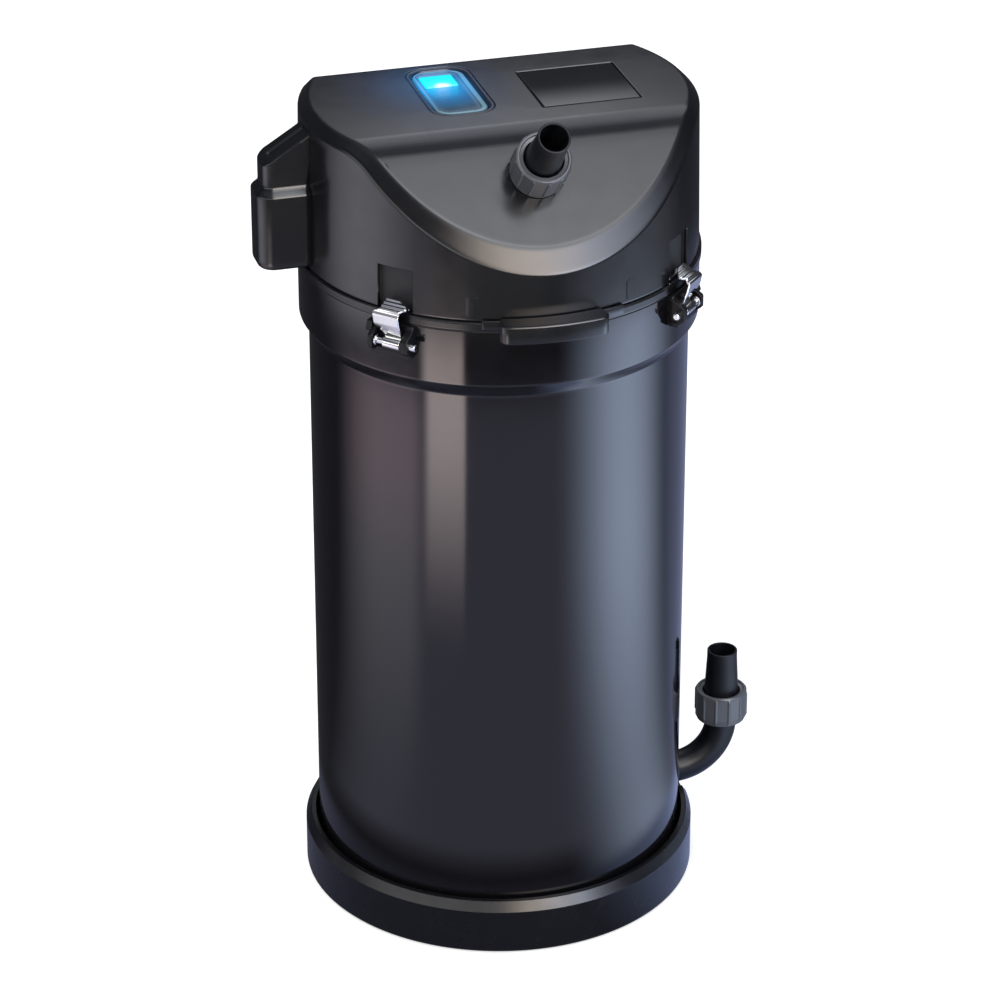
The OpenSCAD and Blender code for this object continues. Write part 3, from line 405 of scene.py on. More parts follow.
# Each card: colour, brightness, and between which azimuths its ends fade (0 is under the camera,
# positive to the right). Those on the mat also have the reach, in mm from the filter's axis,
# and those on the dome the elevation in degrees.
mat_cards = [
    ("#dedeff", 0.53, (-112, -55, 30, 56), (138, 152, 600, 660)),      # pale cloth in front
    ("#fffdfd", 0.88, (-110, -70, -52, -38), (130, 560, 600, 660)),    # wide card at the left
    ("#ff7ba0", 0.38, (-110, -70, -52, -38), (380, 540, 600, 660)),    # its warm far end
    ("#ffede9", 4.30, (-44, -38, -19.6, -17.8), (330, 620, 670, 760)), # narrow bright strip
    ("#cedfff", 2.10, (30, 72, 74, 118), (118, 136, 690, 750)),        # cool card at the right
    ("#cedfff", 2.60, (30, 72, 74, 118), (120, 460, 690, 750)),
    ("#becbff", 0.43, (100, 122, 150, 175), (118, 136, 690, 750)),     # its dim end
    ("#b4c8ff", 0.75, (30, 66, 110, 150), (60, 80, 118, 136)),         # what the base ring mirrors
    ("#c8ccff", 0.16, (-140, -90, 20, 60), (60, 80, 118, 128)),        # and its front
    ("#f2f2ff", 1.95, (-122, -78, -74, -24), (640, 740, 1000, 1150)),  # for the head's left wall
    ("#ffffff", 0.25, (-28, -14, 20, 34), (700, 760, 1000, 1150)),     # its front
    ("#dfe6f2", 0.50, (24, 50, 90, 125), (700, 760, 1000, 1150)),      # and its right wall
]
dome_cards = [
    ("#ffffff", 1.80, (-100, -70, -10, 10), (1, 5, 18, 24)),      # low band at the left
    ("#fff0e3", 8.70, (-4, 21, 22, 52), (4, 9, 33, 42)),          # warm card that the bevels mirror
    ("#e0eaff", 6.00, (20, 44, 44, 80), (4, 9, 33, 42)),          # its cool end
    ("#fbfcff", 4.50, (0, 25, 48, 70), (32, 42, 50, 62)),         # from there up over the camera
    ("#f6f9ff", 2.50, (-10, 25, 46, 66), (48, 58, 60, 67)),       # what the slope mirrors
    ("#f6f9ff", 2.00, (-10, 25, 46, 66), (48, 58, 67, 74)),
    ("#e6ecff", 4.00, (22, 33, 44, 60), (1, 4, 15, 20)),          # low and cool, for the base's bevel
]
# Behind the filter, by azimuths from 0 to 360: a narrow card whose lower edge fades, so that the
# plateau grows lighter towards the front, and a wide one overhead that keeps the rounding behind
# the slope light.
back_cards = [
    ("#f2f7ff", 1.60, (170.5, 177.5, 179, 190), (25, 31.2, 34, 44)),
    ("#f2f7ff", 1.15, (120, 150, 188, 212), (31, 42, 58, 78)),
]
# The cloth isn't quite black: the dome glows faintly, and more so overhead
glow_rgb = (0.05 + 0.4 * smooth(elevation, 30, 60))[:, None] * np.array(linear("#e9edff"))[:3]
for turn, places, cards in ((azimuth, mat_reach, mat_cards), (azimuth, elevation, dome_cards),
                            (azimuth % 360, elevation, back_cards)):
    for colour, brightness, sides, ends in cards:
        shape = span(turn, *sides) * span(places, *ends)
        glow_rgb = glow_rgb + (brightness * shape)[:, None] * np.array(linear(colour))[:3]
glow_values = np.concatenate([glow_rgb, np.ones((len(flat), 1))], 1)

tent_material, tree = studio_material("light cards and black cloth")
tent_material.cycles.emission_sampling = "NONE"
glow = add(tree, "Attribute", attribute_name="glow")
shine = add(tree, "Emission", {"Color": glow.outputs["Color"], "Strength": 1.0})
add(tree, "OutputMaterial", {"Surface": shine.outputs[0]})
tent = studio_object("tent of cards", tent_points, tent_material)
glow_layer = tent.data.color_attributes.new("glow", "FLOAT_COLOR", "POINT")
glow_layer.data.foreach_set("color", glow_values.astype(np.float32).ravel())
tent.visible_camera = tent.visible_diffuse = tent.visible_transmission = False
tent.visible_volume_scatter = tent.visible_shadow = False
print("the tent has", len(tent.data.polygons), "faces, and its brightest card glows at",
      round(float(glow_values[:, :3].max()), 2))

# %% [markdown]
# Three soft lamps give the plain light: a large key from the front left, a cooler one from the
# right and a weak one from behind. Gloss doesn't see them, because the tent is what it mirrors.

# %% Lamps
lamp_size, lamp_distance = 0.9, 1.4
for name, power, colour, sideways, upwards in (("key lamp", 13, "#fff8f0", -30, 52),
                                               ("side lamp", 7, "#eaf2ff", 62, 34),
                                               ("back lamp", 5, "#ffffff", 170, 48)):
    lamp = bpy.data.objects.new(name, bpy.data.lights.new(name, "AREA"))
    lamp.data.energy = power
    lamp.data.size = lamp_size
    lamp.data.color = linear(colour)[:3]
    scene.collection.objects.link(lamp)
    aim(lamp, (0, 0, middle_height / 1000), lamp_distance, sideways, upwards)
    lamp.visible_glossy = False
    print(f"{name}: {power} W from {sideways} degrees, {upwards} degrees up")

# %% [markdown]
# ## Moulded plastic
# Almost everything one sees is injection moulded. Such a skin isn't perfectly even: polish on the
# steel mould leaves a slow waviness a few millimetres wide, the melt leaves a faint clouding, and
# handling leaves a very fine texture. One recipe serves all the plastics, with the real sizes as
# its numbers.

# %% A recipe for moulded plastic


def moulded(name, colour, other, roughness, ior=1.53, grain=0.35, depth=0.01, wave=9.0, cloud=26.0,
            **sockets):
    """Plastic between two near colours. The grain is the texture's size in millimetres, the depth
    its height, the wave the width of the mould's waviness, and the cloud that of the clouding."""
    material, tree, _ = new_material(name, IOR=ior, **sockets)
    place = place_on(tree)
    feed(tree, "Base Color", mixed(tree, noise(tree, place, cloud, 3.0), colour, other))
    roughen(tree, noise(tree, place, wave, 1.0), roughness * 0.9, roughness * 1.1)
    emboss(tree, noise(tree, place, grain, 2.0), depth)
    return material


# Polycarbonate from a polished mould: a mirror-like skin on a near-black body
canister_plastic = moulded("smoked polycarbonate, polished", "#0d0c0f", "#100f13", 0.10,
                           ior=1.58, grain=1.2, depth=0.002)
# ABS from a fine mould: the head and its flange are a little softer than the canister
head_plastic = moulded("black ABS, gloss", "#101114", "#131417", 0.20,
                       ior=1.54, grain=0.6, depth=0.003)
flange_plastic = moulded("black ABS, satin", "#0f1012", "#131416", 0.22,
                         ior=1.54, grain=0.5, depth=0.004)
# Polypropylene, which water doesn't harm: grained for the base, smooth for the pipes
base_plastic = moulded("black polypropylene, fine grain", "#0e0f12", "#121316", 0.26,
                       ior=1.49, grain=0.45, depth=0.008)
pipe_plastic = moulded("black polypropylene, smooth", "#0c0e12", "#101217", 0.38,
                       ior=1.49, grain=0.7, depth=0.004, Specular_IOR_Level=0.3)
# ABS coloured through, from a fine mould
nut_plastic = moulded("grey ABS, satin", "#505359", "#5b5e65", 0.24,
                      ior=1.54, grain=0.4, depth=0.006)
# Nylon with glass fibre, stiff enough for the clips: the fibres leave its skin dull
bracket_plastic = moulded("black glass-filled nylon", "#0c0d0f", "#121316", 0.36,
                          ior=1.53, grain=0.35, depth=0.008, Specular_IOR_Level=0.25)
print("plastics:", [m.name for m in (canister_plastic, head_plastic, flange_plastic, base_plastic,
                                     pipe_plastic, nut_plastic, bracket_plastic)])

# %% [markdown]
# The pocket over each clip is formed by an insert in the mould, whose face nobody polishes. So the
# pockets' backs come out dull. A height and a radius find them: they lie lower than the pockets'
# top edge, and nearer to the axis than the wall. The lowest few millimetres of the back slope lie
# there too, and come out dull with them.

# %% Dull backs in the clip pockets
pocket_top, pocket_radius, added_roughness = 0.3172, 0.0822, 0.42
tree = head_plastic.node_tree
place = place_on(tree)
flat_place = add(tree, "VectorMath", {0: place, 1: (1, 1, 0)}, operation="MULTIPLY")
radius = add(tree, "VectorMath", {0: flat_place.outputs[0]}, operation="LENGTH").outputs["Value"]
height = add(tree, "SeparateXYZ", {0: place}).outputs["Z"]
in_pocket = calculate(tree, "MULTIPLY", calculate(tree, "LESS_THAN", height, pocket_top),
                      calculate(tree, "LESS_THAN", radius, pocket_radius))
polished = tree.nodes["Principled BSDF"].inputs["Roughness"].links[0].from_socket
feed(tree, "Roughness", calculate(tree, "MULTIPLY_ADD", in_pocket, added_roughness, polished))
print("the pockets' backs are rougher by", added_roughness)

# %% [markdown]
# ## The canister and its base ring
# The canister is a moulded pot: straight for most of its height, then a short cone and a collar
# that carries the clips. A lathe would give its shape, so it is one profile turned about Z, out
# along the outside and back along the inside. The seat for the inlet's grommet is a second small
# profile, turned about the inlet's axis.

# %% The canister
canister_profile = soften(
    [[0, 3], [78.5, 3], [80, 4.5], [80, 263.4], [84.1, 269.5], [84.1, 294], [81.1, 294],
     [81.1, 269.5], [77, 263.4], [77, 6.5], [0, 6.5]],
    [0, 1, 1, 1.5, 1.0, 0.5, 0.5, 1, 1.5, 3, 0])
inlet_height = 29.0
seat_profile = soften([[9.0, 0], [10.5, 0], [10.5, 2.1], [9.0, 2.1]], [0, 0, 0.3, 0])
seat = turned(revolve(seat_profile, 64), 1, 90, (78.5, 0, inlet_height))
make_piece("canister_shell", [grid(revolve(canister_profile, 240)), grid(seat, caps=True)],
           canister_plastic, "filter", ["canister"])

# %% [markdown]
# The base ring is a tray with a flat bevel round its rim. On the right its wall dips in a shallow
# arc under the inlet. The tray is a profile turned about Z too. The dip comes from a height limit:
# near the inlet no point may lie higher than the arc, 29 - sqrt(10.8^2 - y^2). The columns and the
# rows stand closer together there, so the arc's edge is clean.

# %% The base ring
ring_profile = soften(
    [[0, 0], [85.2, 0], [86, 0.8], [86, 20.1], [83.7, 24.5], [81.4, 24.5], [81.4, 3], [0, 3]],
    [0, 0.4, 0.4, 0.3, 0.3, 0.4, 1.2, 0], 6)
outer_wall = np.flatnonzero(np.diff(ring_profile[:, 1]) > 10)[0]
inner_wall = np.flatnonzero(np.diff(ring_profile[:, 1]) < -10)[0]
ring_profile = np.concatenate([ring_profile[:outer_wall + 1],
                               np.stack([np.full(30, 86.0), np.linspace(10, 19.6, 30)], 1),
                               ring_profile[outer_wall + 1:inner_wall + 1],
                               np.stack([np.full(24, 81.4), np.linspace(23, 17.5, 24)], 1),
                               ring_profile[inner_wall + 1:]])
angles = np.radians(np.concatenate([np.linspace(-8, 8, 97), np.linspace(8, 352, 230)[1:-1]]))
tray = revolve(ring_profile, angles)
dip_radius = 10.8
dip = inlet_height - np.sqrt(np.maximum(dip_radius ** 2 - tray[..., 1] ** 2, 0))
near_inlet = (tray[..., 0] > 70) & (tray[..., 2] > 10)
tray[..., 2] = np.where(near_inlet, np.minimum(tray[..., 2], dip), tray[..., 2])
make_piece("base_tray", [grid(tray)], base_plastic, "filter", ["base_ring"])

# %% [markdown]
# ## The head's form
# The head is a tall hood. Seen from the side its top is a plateau, a front slope of 45 degrees
# behind a wide rounding, and a steeper back slope behind a tight one. Round the top runs a bevel:
# beyond a radius of 78.7 mm the surface falls one more millimetre for each millimetre outwards,
# until it meets the slightly leaning wall. So the whole hood is one height formula.

# %% The head's height formula
seam, top = 298.0, 364.4
bevel_at = 78.7
lean = 1.2 / 66.4
# Where each rounding ends and starts along Y, and its radius: behind the slope, and at the back
crest_foot, crest_end, crest_radius = -46.38, -34.36, 17
brow_start, brow_foot, brow_radius = 36.10, 38.40, 3
slope_shift = 41.4  # the front slope would reach the plateau's height at y = -41.4
back_corner, back_slope = 37.5, 50  # the back slope would start here, and falls by so many degrees


def crown(y):
    """How far the plateau has sunk at y: 0.4 mm x (y / 39)^2, gone again beyond its ends."""
    return 0.4 * (y / 39) ** 2 * (1 - smooth(np.abs(y), 39, 48))


def head_top(y):
    """Height of the hood's top at y: straight lines, joined by arcs of radius 17 and 3, less the
    plateau's slight crown."""
    crest = top - crest_radius + np.sqrt(np.maximum(crest_radius ** 2 - (y - crest_end) ** 2, 0))
    brow = top - brow_radius + np.sqrt(np.maximum(brow_radius ** 2 - (y - brow_start) ** 2, 0))
    return np.select([y < crest_foot, y < crest_end, y < brow_start, y < brow_foot],
                     [top + y + slope_shift, crest, top + 0 * y, brow],
                     top - (y - back_corner) * np.tan(np.radians(back_slope))) - crown(y)


def crowned(points):
    """Points of the pieces that lie in the plateau, sunk as it is."""
    return points - crown(points[..., 1:2]) * [0, 0, 1]


def bevel_drop(r, soft=0.9):
    """How far the bevel has fallen at a radius: r - 78.7, eased in by a parabola."""
    d = r - bevel_at
    return np.where(d < -soft, 0, np.where(d > soft, d, (d + soft) ** 2 / (4 * soft)))


def wall_radius(z):
    """Radius of the leaning wall."""
    return 83.8 - (z - seam) * lean


print("the slope reaches the wall about", round(float(head_top(np.array(-83.0))), 1), "mm up")

# %% [markdown]
# ## The head's skin
# The wall and the bevel are one ring-shaped grid: its columns run round the head, and its rows
# run from the plateau's edge outwards, round the bevel's lower corner and down the wall. Each
# clip has a pocket over it, 16 mm wide with a flat back, and two small raised marks flank the
# front tab. Both come from columns and rows that stand in pairs at their edges, one on the wall
# and one at the pocket's depth. So the edges stay crisp, as an insert in the mould leaves them.

# %% Columns of the ring
clip_angles = {"front_left": -46, "front_right": 46, "rear_right": 134, "rear_left": 226}
mark_angles = (-23.5, 23.5)
crease_y = np.concatenate([
    [crest_end + 0.5], crest_end - crest_radius * np.sin(np.radians(np.linspace(0, 45, 12))),
    [crest_foot - 0.5], [brow_start - 0.3],
    brow_start + brow_radius * np.sin(np.radians(np.linspace(0, back_slope, 6))), [brow_foot + 0.3]])
inner_radius = bevel_at - 1.5
nominal_radius = 83.0  # near enough to the wall's, for sorting and for a first guess
deep = 1e3  # as deep as the pocket's flat back allows
# Distance beside the centre line, and how deep or how high the column may go there
pocket_columns = np.array([(-8.3, 0), (-8, 0.3), (-8, deep), (-7.5, deep), (-5, deep),
                           (-2.5, deep), (0, deep)])
mark_columns = np.array([(-2.2, 0), (-2.1, 0.1), (-1.8, 0.18), (-0.6, 0.18)])


def mirrored(rows):
    """The rows, and then their mirror image with the first column negated. A row on the mirror's
    line isn't repeated."""
    other = rows[::-1] * [-1, 1]
    return np.concatenate([rows, other[int(rows[-1, 0] == 0):]])


def columns_at(centre, rows, kind):
    """One table row per column: centre angle, distance beside it, pocket depth, mark height."""
    rows = mirrored(rows)
    table = np.zeros((len(rows), 4))
    table[:, 0], table[:, 1], table[:, kind] = centre, rows[:, 0], rows[:, 1]
    return table


# Plain columns stand every 1.25 degrees and at the creases' ends, but not by a pocket or a mark
crease_angles = np.degrees(np.arccos(-crease_y / inner_radius))
plain_angles = np.concatenate([np.arange(0, 360, 1.25), crease_angles, 360 - crease_angles])
taken = [(a % 360, 6.2) for a in clip_angles.values()] + [(a % 360, 2.2) for a in mark_angles]
free = np.all([np.abs((plain_angles - a + 180) % 360 - 180) > half for a, half in taken], axis=0)
plain_columns = np.zeros((int(free.sum()), 4))
plain_columns[:, 0] = plain_angles[free]
table = np.concatenate([plain_columns]
                       + [columns_at(a % 360, pocket_columns, 2) for a in clip_angles.values()]
                       + [columns_at(a % 360, mark_columns, 3) for a in mark_angles])
true_angles = table[:, 0] + np.degrees(np.arcsin(table[:, 1] / nominal_radius))
order = np.lexsort((np.arange(len(table)), np.round(true_angles, 6) % 360))
centre, beside, pocket, mark = table[order].T
print("columns round the head:", len(centre))

# %% [markdown]
# The rows carry those columns outwards and down. Where the bevel meets the wall, a mould always
# has a small radius, and that radius is what catches the light all round the head. So the corner
# itself is worked out first, for every column, and then a short parabola rounds it. Below it the
# rows follow the leaning wall, and at the foot they turn in a little over the flange.

# %% Rows of the ring


def spot(r, out=0.0):
    """(x, y) of every column at a radius, moved outwards square to the column's centre line."""
    a = np.radians(centre)
    forward = np.sqrt(np.maximum(r ** 2 - beside ** 2, 0)) + out
    return beside * np.cos(a) + forward * np.sin(a), beside * np.sin(a) - forward * np.cos(a)


def on_bevel(r):
    """Points of the top and the bevel at a radius."""
    x, y = spot(r)
    return np.stack([x, y, head_top(y) - bevel_drop(r)], -1)


# The bevel meets the wall where both have the same height and radius: each depends a little on
# the other, so they are worked out in turns until they settle
corner_r = np.full(len(centre), nominal_radius)
for _ in range(30):
    corner_z = head_top(spot(corner_r)[1]) - bevel_drop(corner_r)
    corner_r = wall_radius(corner_z)

# That corner is rounded by a parabola, (1-s)^2 start + 2s(1-s) corner + s^2 end
edge = 0.9
s = np.linspace(0, 1, 7)[:, None]
start_z = on_bevel(corner_r - edge)[:, 2]
end_r = wall_radius(corner_z - edge)
bend_r = (1 - s) ** 2 * (corner_r - edge) + 2 * s * (1 - s) * corner_r + s ** 2 * end_r
bend_z = (1 - s) ** 2 * start_z + 2 * s * (1 - s) * corner_z + s ** 2 * (corner_z - edge)
rows = [on_bevel(np.full(len(centre), r)) for r in
        np.concatenate([[inner_radius], bevel_at + np.linspace(-0.9, 0.9, 8), [bevel_at + 1.4]])]
rows += [on_bevel(corner_r - edge - 0.5)]
rows += [np.stack([*spot(r), z], -1) for r, z in zip(bend_r, bend_z)]

# Rows of the wall: height, pocket depth, mark height, and how far the foot is rounded back.
# Where the slope cuts deep, the wall is lower than these rows, and they are squeezed to fit.
wall_rows = [(316.9, 0, 0, 0), (316.6, 0.3, 0, 0), (316.6, deep, 0, 0), (316.0, deep, 0, 0),
             (312, deep, 0, 0), (308.6, deep, 0, 0), (308.5, deep, 0.3, 0), (308.2, deep, 0.5, 0),
             (304, deep, 0.5, 0), (300.4, deep, 0.5, 0), (300.1, deep, 0.3, 0), (300.0, deep, 0, 0),
             (299.2, deep, 0, 0), (298.6, deep, 0, 0), (298.3, deep, 0, 0.08),
             (298.1, deep, 0, 0.25), (298.0, deep, 0, 0.5)]
highest_row, pocket_back = 317.2, 80.6
squeeze = np.minimum(1, (corner_z - edge - 0.5 - seam) / (highest_row - seam))
z = corner_z - edge - 0.4
rows += [np.stack([*spot(wall_radius(z)), z], -1)]
for height, depth, proud, foot in wall_rows:
    z = seam + (height - seam) * squeeze
    r = wall_radius(z)
    cut = np.minimum(np.sqrt(r ** 2 - beside ** 2) - pocket_back, np.minimum(depth, pocket))
    out = np.minimum(mark, proud) - np.where(pocket > 0, cut, 0) - foot
    rows += [np.stack([*spot(r, out), z], -1)]
ring = np.stack(rows)
print("rows down the head:", len(rows))

# %% [markdown]
# The hood's top is flat or bent one way only: along X it is straight everywhere. So it is filled
# with triangles between lines along X, and needs no points between them. The openings for the
# button and for the panel are left out of it. Each gets a rim, a stack of loops with a small
# chamfer that goes down to the ledge on which the bezel or the panel lies.

# %% The top, with the two openings


def rounded_rectangle(width, length, radius, x=0.0, y=0.0, z=0.0, corner=8):
    """A closed loop: four quarter circles, each about its own corner's centre."""
    a = np.radians(np.linspace(0, 90, corner + 1))[None, :] + np.radians([0, 90, 180, 270])[:, None]
    cx = (width / 2 - radius) * np.array([1, -1, -1, 1])[:, None]
    cy = (length / 2 - radius) * np.array([1, 1, -1, -1])[:, None]
    loop = np.stack([x + cx + radius * np.cos(a), y + cy + radius * np.sin(a), z + 0 * a], -1)
    return loop.reshape(-1, 3)


def inside_rectangle(p, width, length, radius, x, y):
    """True where points lie inside a rounded rectangle, by its signed distance."""
    q = np.abs(p - [x, y]) - [width / 2 - radius, length / 2 - radius]
    return np.hypot(*np.maximum(q, 0).T) + np.minimum(q.max(1), 0) < radius


button_at, panel_at = (-19.2, 5.8), (33.5, -2.25)
bezel_hole = (27.6, 54.6, 9.0)
panel_hole = (42.1, 41.5, 0.8)
cap_hole = (22.6, 49.6, 6.8)


def grown(size, by):
    """Width, length and radius of a rounded rectangle, grown all round."""
    return size[0] + 2 * by, size[1] + 2 * by, size[2] + by


def loops(size, at, base, steps):
    """One loop for each step (grown by, raised by) of a rounded rectangle over a base height."""
    return [rounded_rectangle(*grown(size, by), *at, base + up) for by, up in steps]


rim_width = 0.6  # of the chamfered rims that the openings get
bezel_opening, panel_opening = grown(bezel_hole, rim_width), grown(panel_hole, rim_width)
outline = ring[0]
outline = outline[np.linalg.norm(outline - np.roll(outline, 1, 0), axis=1) > 1e-3]
borders = [outline[:, :2],
           rounded_rectangle(*bezel_opening, *button_at)[:, :2],
           rounded_rectangle(*panel_opening, *panel_at)[:, :2]]
lines = np.sqrt(inner_radius ** 2 - crease_y ** 2)[:, None] * np.array([-1, 1])
lines = np.stack([lines, crease_y[:, None] + 0 * lines], -1).reshape(-1, 2)
points = np.concatenate(borders + [lines])
edges, start = [], 0
for loop in borders:
    k = np.arange(len(loop))
    edges += np.stack([start + k, start + np.roll(k, -1)], 1).tolist()
    start += len(loop)
edges += (start + np.arange(len(lines))).reshape(-1, 2).tolist()
flat, _, triangles, *_ = delaunay_2d_cdt([Vector(p) for p in points.tolist()], edges, [], 0, 1e-3)
flat = np.array([tuple(p) for p in flat])
middles = flat[np.array(triangles)].mean(1)
keep = ~(inside_rectangle(middles, *bezel_opening, *button_at)
         | inside_rectangle(middles, *panel_opening, *panel_at))
plate = (np.column_stack([flat, head_top(flat[:, 1])]), np.array(triangles)[keep].tolist())
print("triangles on the head's top:", int(keep.sum()))

chamfer = [(rim_width, 0), (0.25, 0), (0.1, -0.05), (0, -0.2)]
bezel_rim = crowned(np.stack(loops(bezel_hole, button_at, top, chamfer + [(0, -0.5), (0, -1.6)])
                             + loops(cap_hole, button_at, top, [(0, -1.6)])))
panel_rim = crowned(np.stack(loops(panel_hole, panel_at, top,
                                   chamfer + [(0, -0.4), (0, -1.0), (-0.7, -1.0)])))

head = make_piece("head_hood", [grid(ring), plate, grid(bezel_rim),
                                grid(panel_rim), (panel_rim[-1], [list(range(len(panel_rim[-1])))])],
                  head_plastic, "filter", ["head_housing"])
thicken(head, 2.2)

# %% [markdown]
# ## Flange, skirt, tab and ridge
# The hood stands on the head's base: a flat flange that covers the canister's rim, and a skirt
# inside the collar with the gasket's groove. At the front a lifting tab stands out, with a low
# ridge behind it. Flange and skirt are one turned profile. Tab and ridge are flat outlines that
# are stacked: each level repeats the outline a little smaller, which rounds its edges.

# %% Stacked outlines


def inset(outline, by):
    """A counter-clockwise outline moved inwards: each point goes along the mean of its two edges'
    normals, divided by 1 + their dot product, so that both edges move by the same distance."""
    p = outline[:, :2]
    e = np.roll(p, -1, 0) - p
    n = np.stack([e[:, 1], -e[:, 0]], 1) / np.linalg.norm(e, axis=1, keepdims=True)
    before = np.roll(n, 1, 0)
    return p - by * (n + before) / (1 + (n * before).sum(1, keepdims=True))


def stack(outline, low, high, edge=0.5, steps=4):
    """The outline raised from low to high, with its lower and upper edges rounded by quarter
    circles, and one more level inside each face that keeps the face flat."""
    a = np.radians(np.linspace(0, 90, steps + 1))
    back, rise = edge * (1 - np.cos(a)), edge * (1 - np.sin(a))
    levels = [(edge * 1.5, low), *zip(back[::-1], low + rise[::-1]), *zip(back, high - rise),
              (edge * 1.5, high)]
    return np.stack([np.column_stack([inset(outline, b), np.full(len(outline), z)])
                     for b, z in levels])


def sector(inner, outer, half_angle, radius, steps=40):
    """A piece of a ring about the front, with round corners: two arcs, softened where they meet
    the straight ends."""
    a = np.radians(np.linspace(-half_angle, half_angle, steps))
    turn = radius / outer * 1.05
    far = np.stack([outer * np.sin(a), -outer * np.cos(a)], 1)
    near = np.stack([inner * np.sin(a), -inner * np.cos(a)], 1)[::-1]
    from_end = np.radians(half_angle) - np.abs(a)
    far = far[(from_end > turn) | (from_end < 1e-6)]
    radii = np.zeros(len(far) + len(near))
    radii[[0, len(far) - 1]] = radius
    return soften(np.concatenate([far, near]), radii, 8, 0, closed=True)


flange_profile = soften(
    [[0, 294], [77.8, 294], [77.8, 280], [80.8, 280], [80.8, 285], [78.9, 285], [78.9, 289],
     [80.8, 289], [80.8, 294], [84.8, 294], [84.8, 298], [0, 298]],
    [0, 0.3, 0.4, 0.6, 0.1, 0.1, 0.1, 0.1, 0.2, 0.5, 0.7, 0])
tab_turn = -1.1  # the tab sits a little left of the middle
tab = turned(stack(sector(84.2, 93.4, 14.5, 4.0), 291.9, 300, 0.9), 2, tab_turn)
ridge = stack(sector(83.9, 85.4, 20.5, 0.5), 295, 299.2, 0.4)
make_piece("head_flange", [grid(revolve(flange_profile, 240)), grid(tab, caps=True),
                           grid(ridge, caps=True)],
           flange_plastic, "filter", ["head_base"])

# %% [markdown]
# ## The cable housing
# On the left a narrow housing covers the cable's entry. Its walls follow a U-shaped outline round
# its outer corners, they step in above a sloping shoulder, and its roof falls outwards. Each row
# of the grid is the outline at one height. The last rows close the roof towards its middle line,
# and their height comes from the roof's plane. The first rows close the bottom round the gland,
# a little lower than the walls' rounded foot.

# %% The cable housing
box_start, box_end, half_width, corner_radius = -80, -104.3, 11, 7
corner_start = box_end + corner_radius
u = soften([[box_start, half_width], [box_end, half_width], [box_end, -half_width],
            [box_start, -half_width]], [0, corner_radius, corner_radius, 0], 14, 0)
u = np.concatenate([np.linspace(u[0], u[1], 8)[:-1], u[1:-1], np.linspace(u[-2], u[-1], 8)[1:]])
roof_start, roof_fall = 356, np.tan(np.radians(32))


def u_inset(by):
    """The U-shaped outline moved inwards: its sides by their width, its corners by their radius,
    while its open ends stay at the head."""
    share = np.clip((box_start - u[:, 0]) / (box_start - corner_start), 0, 1)
    sides_x = np.minimum(u[:, 0] + by * share, box_start)
    corners_x = box_end + by + (u[:, 0] - box_end) * (corner_radius - by) / corner_radius
    x = np.where(u[:, 0] < corner_start, corners_x, sides_x)
    return np.stack([x, u[:, 1] * (1 - by / half_width)], 1)


def roof_height(x):
    """Height of the roof's plane: 356 mm at the head's wall, falling outwards at 32 degrees."""
    return roof_start - (-83.8 - x) * roof_fall


def u_row(by, height):
    """The outline at a height, with its open ends laid onto the head's wall."""
    xy = u_inset(by)
    height = np.broadcast_to(height, len(xy))
    wall = -np.sqrt(wall_radius(height) ** 2 - xy[:, 1] ** 2) - 0.01
    return np.column_stack([np.minimum(xy[:, 0], wall), xy[:, 1], height])


# (moved inwards by, height) of the rows: rounded foot, wall, shoulder
up = [(1.9, 299.6), (1.0, 299.9), (0.4, 300.5), (0.1, 301.3), (0, 302.3), (0, 303.5), (0, 316),
      (0, 331.4), (0.05, 331.9), (0.25, 332.3), (0.6, 332.75), (2.0, 334.1), (2.4, 334.55),
      (2.72, 335.2), (2.8, 336)]
box_rows = [u_row(by, z) for by, z in up]
# The upper wall ends under the roof's rim, which is rounded in three steps
upper = 2.8
rim = roof_height(u_inset(upper)[:, 0])
box_rows += [u_row(upper, 335.8 + (rim - 336.8) * k) for k in (0.5, 0.97)]
box_rows += [u_row(upper, rim - 0.9), u_row(2.85, rim - 0.5), u_row(3.05, rim - 0.2)]
inner = u_row(3.5, rim)
inner[:, 2] = roof_height(inner[:, 0]) - 0.02
target = np.column_stack([np.clip(inner[:, 0], -97, None), 0 * inner[:, 1], 0 * rim])
for k in (0, 0.1, 0.5, 0.98):
    row = inner + (target - inner) * k
    row[:, 2] = roof_height(row[:, 0])
    box_rows.append(row)
hole = np.radians(np.linspace(90, 270, len(u)))
gland_x, gland_radius = -94.8, 5.4
gland_ring = np.column_stack([gland_x + gland_radius * np.cos(hole), gland_radius * np.sin(hole),
                              np.full(len(u), seam)])
bottom = [gland_ring, gland_ring + (box_rows[0] - gland_ring) * 0.9]
box = make_piece("cable_box", [grid(np.stack(bottom + box_rows), wrap_columns=False)],
                 flange_plastic, "filter", ["cable_housing"])
thicken(box, 1.8)

# %% [markdown]
# ## Clamping nuts and hose ends
# Both hoses are held by a ribbed clamping nut over a tail. The nut is turned, but its radius
# changes with the angle as well: its wall has twelve flats, and on each corner a round rib, an
# arc of radius 0.6 mm about a centre 11.4 mm from the axis. The ribs fade out before the nut's
# ends. Its mouth steps in to a lip that presses on the hose, and widens again to the thread. The
# same nut is used on the slope and on the elbow, so one function makes it and two calls place it.

# %% The nuts
wall_r, flat_r, rib_r = 11.4, 11.2, 0.6
half_pitch = np.pi / 12


